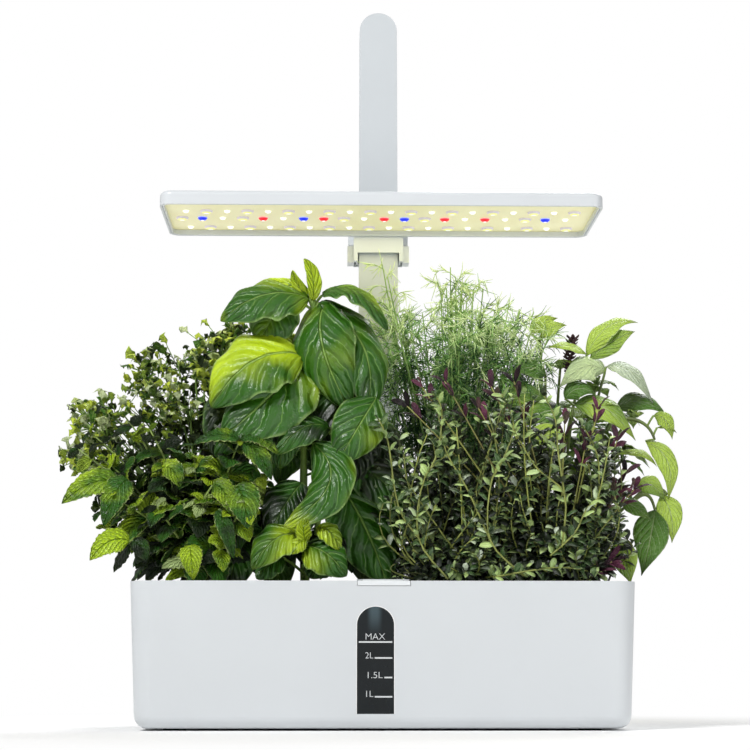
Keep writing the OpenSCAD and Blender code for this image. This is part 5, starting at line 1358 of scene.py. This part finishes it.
def grow_purple():
    """Purple basil: thin sprigs with slender, dark purple leaves through the front of the bush."""
    leaf = leaf_finish("purple_leaf", paint(58, 20, 40), paint(112, 50, 78), paint(150, 96, 120), ribs=4.0,
                       slant=0.3, blister=0.0004, gloss=0.4, rib_width=0.06, glow=0.06, pale_under=0.12)
    stem = stem_finish("purple_stem", paint(180, 186, 96), paint(104, 84, 60))
    rng = np.random.default_rng(61)
    tips = np.array(PURPLE_TIPS, float)
    start, middle = stems_from((POD_X[1], POD_FRONT), tips, rng, reach=0.45, climb=0.5)
    base, bend, tip, face, size, _ = pairs_along(start, middle, tips, (0.82, 0.92, 0.99), (12, 15, 13), rng,
                                                 spread=0.55, ahead=0.75, sag=0.0)
    leaves = blades(base, bend, tip, unit(face + OUT * 0.6), size * 0.14, 10, 4, oval(0.5, 0.6), arch=0.3,
                    fold=0.25, thick=0.3, tint=rng.uniform(0, 0.9, len(size)), rng=rng)
    routes = arc(start, middle, tips, 12)
    stems = rods(routes, np.linspace(0.8, 0.35, 12)[None], 6, rng.uniform(0.2, 0.9, len(tips)))
    herb("purple_basil", "purple_basil", "purple_leaf", leaf, stem, leaves, stems)


# --- Lemon basil -----------------------------------------------------------------------------------

# Single leaves: base, bend, tip, face, half width, roundness, and a tint of freshness together with
# painted light and shade; over 1 it gives a painted sheen.
LEMON_LEAVES = (
    ((136, 14, 240), (148, 10, 268), (169, 6, 261), (-0.2, -0.6, 0.8), 12, 0.5, 1.0),
    ((138, 12, 238), (154, 4, 252), (166, 0, 254), (0.1, -0.8, 0.5), 9, 0.3, 0.75),
    ((136, 14, 241), (124, 8, 250), (109, 8, 244), (0.0, -0.6, 0.8), 7, 0.4, 0.9),
    ((106, 16, 252), (114, 12, 262), (123, 12, 260), (0.0, -0.8, 0.6), 6, 0.3, 0.95),
    ((100, 20, 256), (108, 20, 266), (118, 18, 266), (0.0, -0.8, 0.6), 7, 0.3, 0.9),
    ((147, 8, 228), (136, 4, 240), (116, 2, 217), (-0.1, -0.8, 0.6), 13, 0.5, 1.35),
    ((148, 8, 232), (164, 0, 236), (176, -4, 206), (0.3, -0.7, 0.6), 9, 0.4, 1.5),
    ((154, 6, 203), (168, 2, 216), (185, -6, 198), (0.2, -0.8, 0.5), 9, 0.4, 0.15),
    ((126, 4, 206), (146, -4, 212), (163, -12, 181), (0.2, -0.8, 0.5), 12, 0.5, 0.7),
    ((120, 4, 210), (128, 0, 222), (140, 0, 212), (0.1, -0.8, 0.6), 9, 0.4, 0.6),
    ((176, -6, 198), (186, -8, 198), (187, -10, 182), (0.1, -0.9, 0.3), 6, 0.4, 0.6),
    ((178, -6, 190), (186, -8, 192), (190, -10, 186), (0.1, -0.6, 0.8), 2.5, 0.3, 0.6),
    ((170, -8, 181), (191, -12, 172), (182, -16, 142), (0.2, -0.9, 0.35), 8, 0.5, 0.9),
    ((153, -6, 173), (168, -10, 178), (176, -14, 164), (0.1, -0.6, 0.8), 5, 0.3, 0.8),
    ((164, -12, 153), (172, -18, 156), (180, -18, 142), (0.1, -0.9, 0.4), 8, 0.4, 0.7),
    ((178, -14, 146), (186, -20, 136), (183, -22, 115), (0.1, -0.95, 0.3), 9, 0.4, 1.0),
    ((173, -20, 136), (170, -28, 120), (162, -30, 94), (0.1, -0.95, 0.2), 12, 0.35, 0.25),
    ((148, -34, 117), (150, -42, 104), (153, -44, 88), (0.0, -0.95, 0.3), 9, 0.4, 0.85),
    ((150, -30, 140), (160, -34, 138), (168, -34, 128), (0.1, -0.9, 0.4), 6, 0.4, 0.5),
    ((108, 6, 226), (100, 0, 234), (84, -2, 226), (-0.1, -0.8, 0.5), 9, 0.4, 0.5),
    ((118, 2, 200), (106, -4, 206), (92, -8, 190), (-0.1, -0.9, 0.4), 11, 0.4, 0.6),
    ((34, 4, 203), (48, 0, 224), (66, 2, 206), (0.0, -0.9, 0.4), 9, 0.4, 0.5),
    ((78, 2, 202), (92, -2, 223), (109, 0, 206), (0.0, -0.9, 0.4), 9, 0.4, 0.55),
    ((96, -10, 174), (106, -16, 192), (119, -12, 178), (0.0, -0.95, 0.3), 10, 0.4, 0.9),
    ((128, 0, 190), (136, -6, 188), (142, -10, 168), (0.2, -0.9, 0.4), 10, 0.4, 0.55),
)
LEMON_ENDS = ((136, 14, 238), (106, 18, 250), (147, 8, 228), (154, 6, 203), (126, 6, 206), (108, 8, 226),
              (150, -8, 172), (168, -14, 150), (148, -30, 120))
# Short side stems that hook over to a leaf: start, middle and end.
LEMON_HOOKS = (((150, 4, 196), (172, -4, 200), (176, -8, 182)),
               ((160, -16, 142), (170, -20, 152), (173, -20, 136)),
               ((164, -12, 150), (180, -14, 152), (182, -14, 146)))
LEMON_REAR_STEMS = 28
LEMON_REAR_LOW = (88, 6, 120)         # their tips lie between these corners
LEMON_REAR_HIGH = (172, 42, 240)
LEMON_LOW = (84, -4, 95)              # and their leaves between these
LEMON_HIGH = (190, 46, 268)
LEMON_BLADE = {"fold": 0.1, "blister": 0.4, "ribs": 6, "slant": 0.5}
SPIKE_ROUTE = ((126, 18, 226), (124, 20, 240), (128, 20, 252))
SPIKE_LEVELS = 12
SPIKE_BUDS = 6                        # at each level
SPIKE_TURN = 1.1                      # radians from one bud to the next


def flower_spike(rng):
    """The dark flower spike: small closed buds that point out and up, in a spiral round its route."""
    base = np.repeat(arc(*SPIKE_ROUTE, SPIKE_LEVELS)[0], SPIKE_BUDS, axis=0)
    turn = np.arange(len(base)) * SPIKE_TURN
    away = np.stack((np.cos(turn), np.sin(turn), np.full(len(turn), 0.7)), -1)
    return blades(base, base + away * 2.5, base + away * 4.5, UP + away * 0.2, 1.6, 5, 4, oval(0.5, 0.8),
                  arch=0.9, thick=0.6, tint=rng.uniform(0, 0.5, len(turn)), rng=rng)


def grow_lemon():
    """Lemon basil: pale pointed leaves on arching stems over the right end, with a dark flower spike."""
    leaf = leaf_finish("lemon_leaf", paint(76, 124, 38), paint(190, 220, 84), paint(204, 220, 170), ribs=6.0,
                       slant=0.5, blister=0.0008, gloss=0.36, rib_width=0.06, glow=0.2, pale_under=0.55,
                       edge=paint(198, 216, 160), shine=0.5, cloud=30.0)
    stem = stem_finish("lemon_stem", paint(140, 168, 76), paint(60, 66, 34))
    rng = np.random.default_rng(71)
    base, bend, tip, face, half_width, bow, fresh = columns_of(LEMON_LEAVES)
    outline = oval(0.4, 0.42)
    few = blades(base, bend, tip, face, half_width, 24, 10, outline, arch=bow, ruffle=0.06, waves=2.5,
                 tooth=0.015, tint=fresh, rng=rng, **LEMON_BLADE)
    pod = (POD_X[1], POD_REAR)
    ends = np.array(LEMON_ENDS, float)
    start, middle = stems_from(pod, ends, rng, reach=0.4, climb=0.6)
    rear_tips = scattered(rng, LEMON_REAR_LOW, LEMON_REAR_HIGH, LEMON_REAR_STEMS)
    rear_start, rear_middle = stems_from(pod, rear_tips, rng, reach=0.3, climb=0.6)
    more = pairs_along(rear_start, rear_middle, rear_tips, (0.5, 0.75, 0.95), (26, 28, 22), rng, spread=0.8,
                       ahead=0.35, sag=0.3)
    more[:3] = [np.clip(item, LEMON_LOW, LEMON_HIGH) for item in more[:3]]
    many = blades(*more[:4], more[4] * 0.28, 16, 8, outline, arch=0.4, ruffle=0.08,
                  tint=rng.uniform(0.3, 0.9, len(more[4])), rng=rng, **LEMON_BLADE)
    tree = np.concatenate((arc(start, middle, ends, 14), arc(*columns_of(LEMON_HOOKS), 14)))
    radii = np.linspace(1.6, 0.8, 14)[None]
    rear_tree = arc(rear_start, rear_middle, rear_tips, 14)
    stems = join(rods(tree, radii, tint=0.3), rods(rear_tree, radii, tint=0.5),
                 stalks(tree.reshape(-1, 3), base, 4, 0.7, 0.6))
    herb("lemon_basil", "lemon_basil", "lemon_leaf", leaf, stem, join(few, many), stems)
    foliage("flower_spike", "purple_leaf", bpy.data.materials["purple_leaf"], flower_spike(rng))


# ---------------------------------------------------------------------------------------------------
# Closing lines
# ---------------------------------------------------------------------------------------------------

bpy.context.scene.view_settings.view_transform = "Standard"
make_camera()
light_room()
light_lamp()
make_floor()
dress_construction()
make_lettering()
make_leds()
grow_basil()
grow_mint()
grow_parsley()
grow_dill()
grow_thyme()
grow_purple()
grow_lemon()
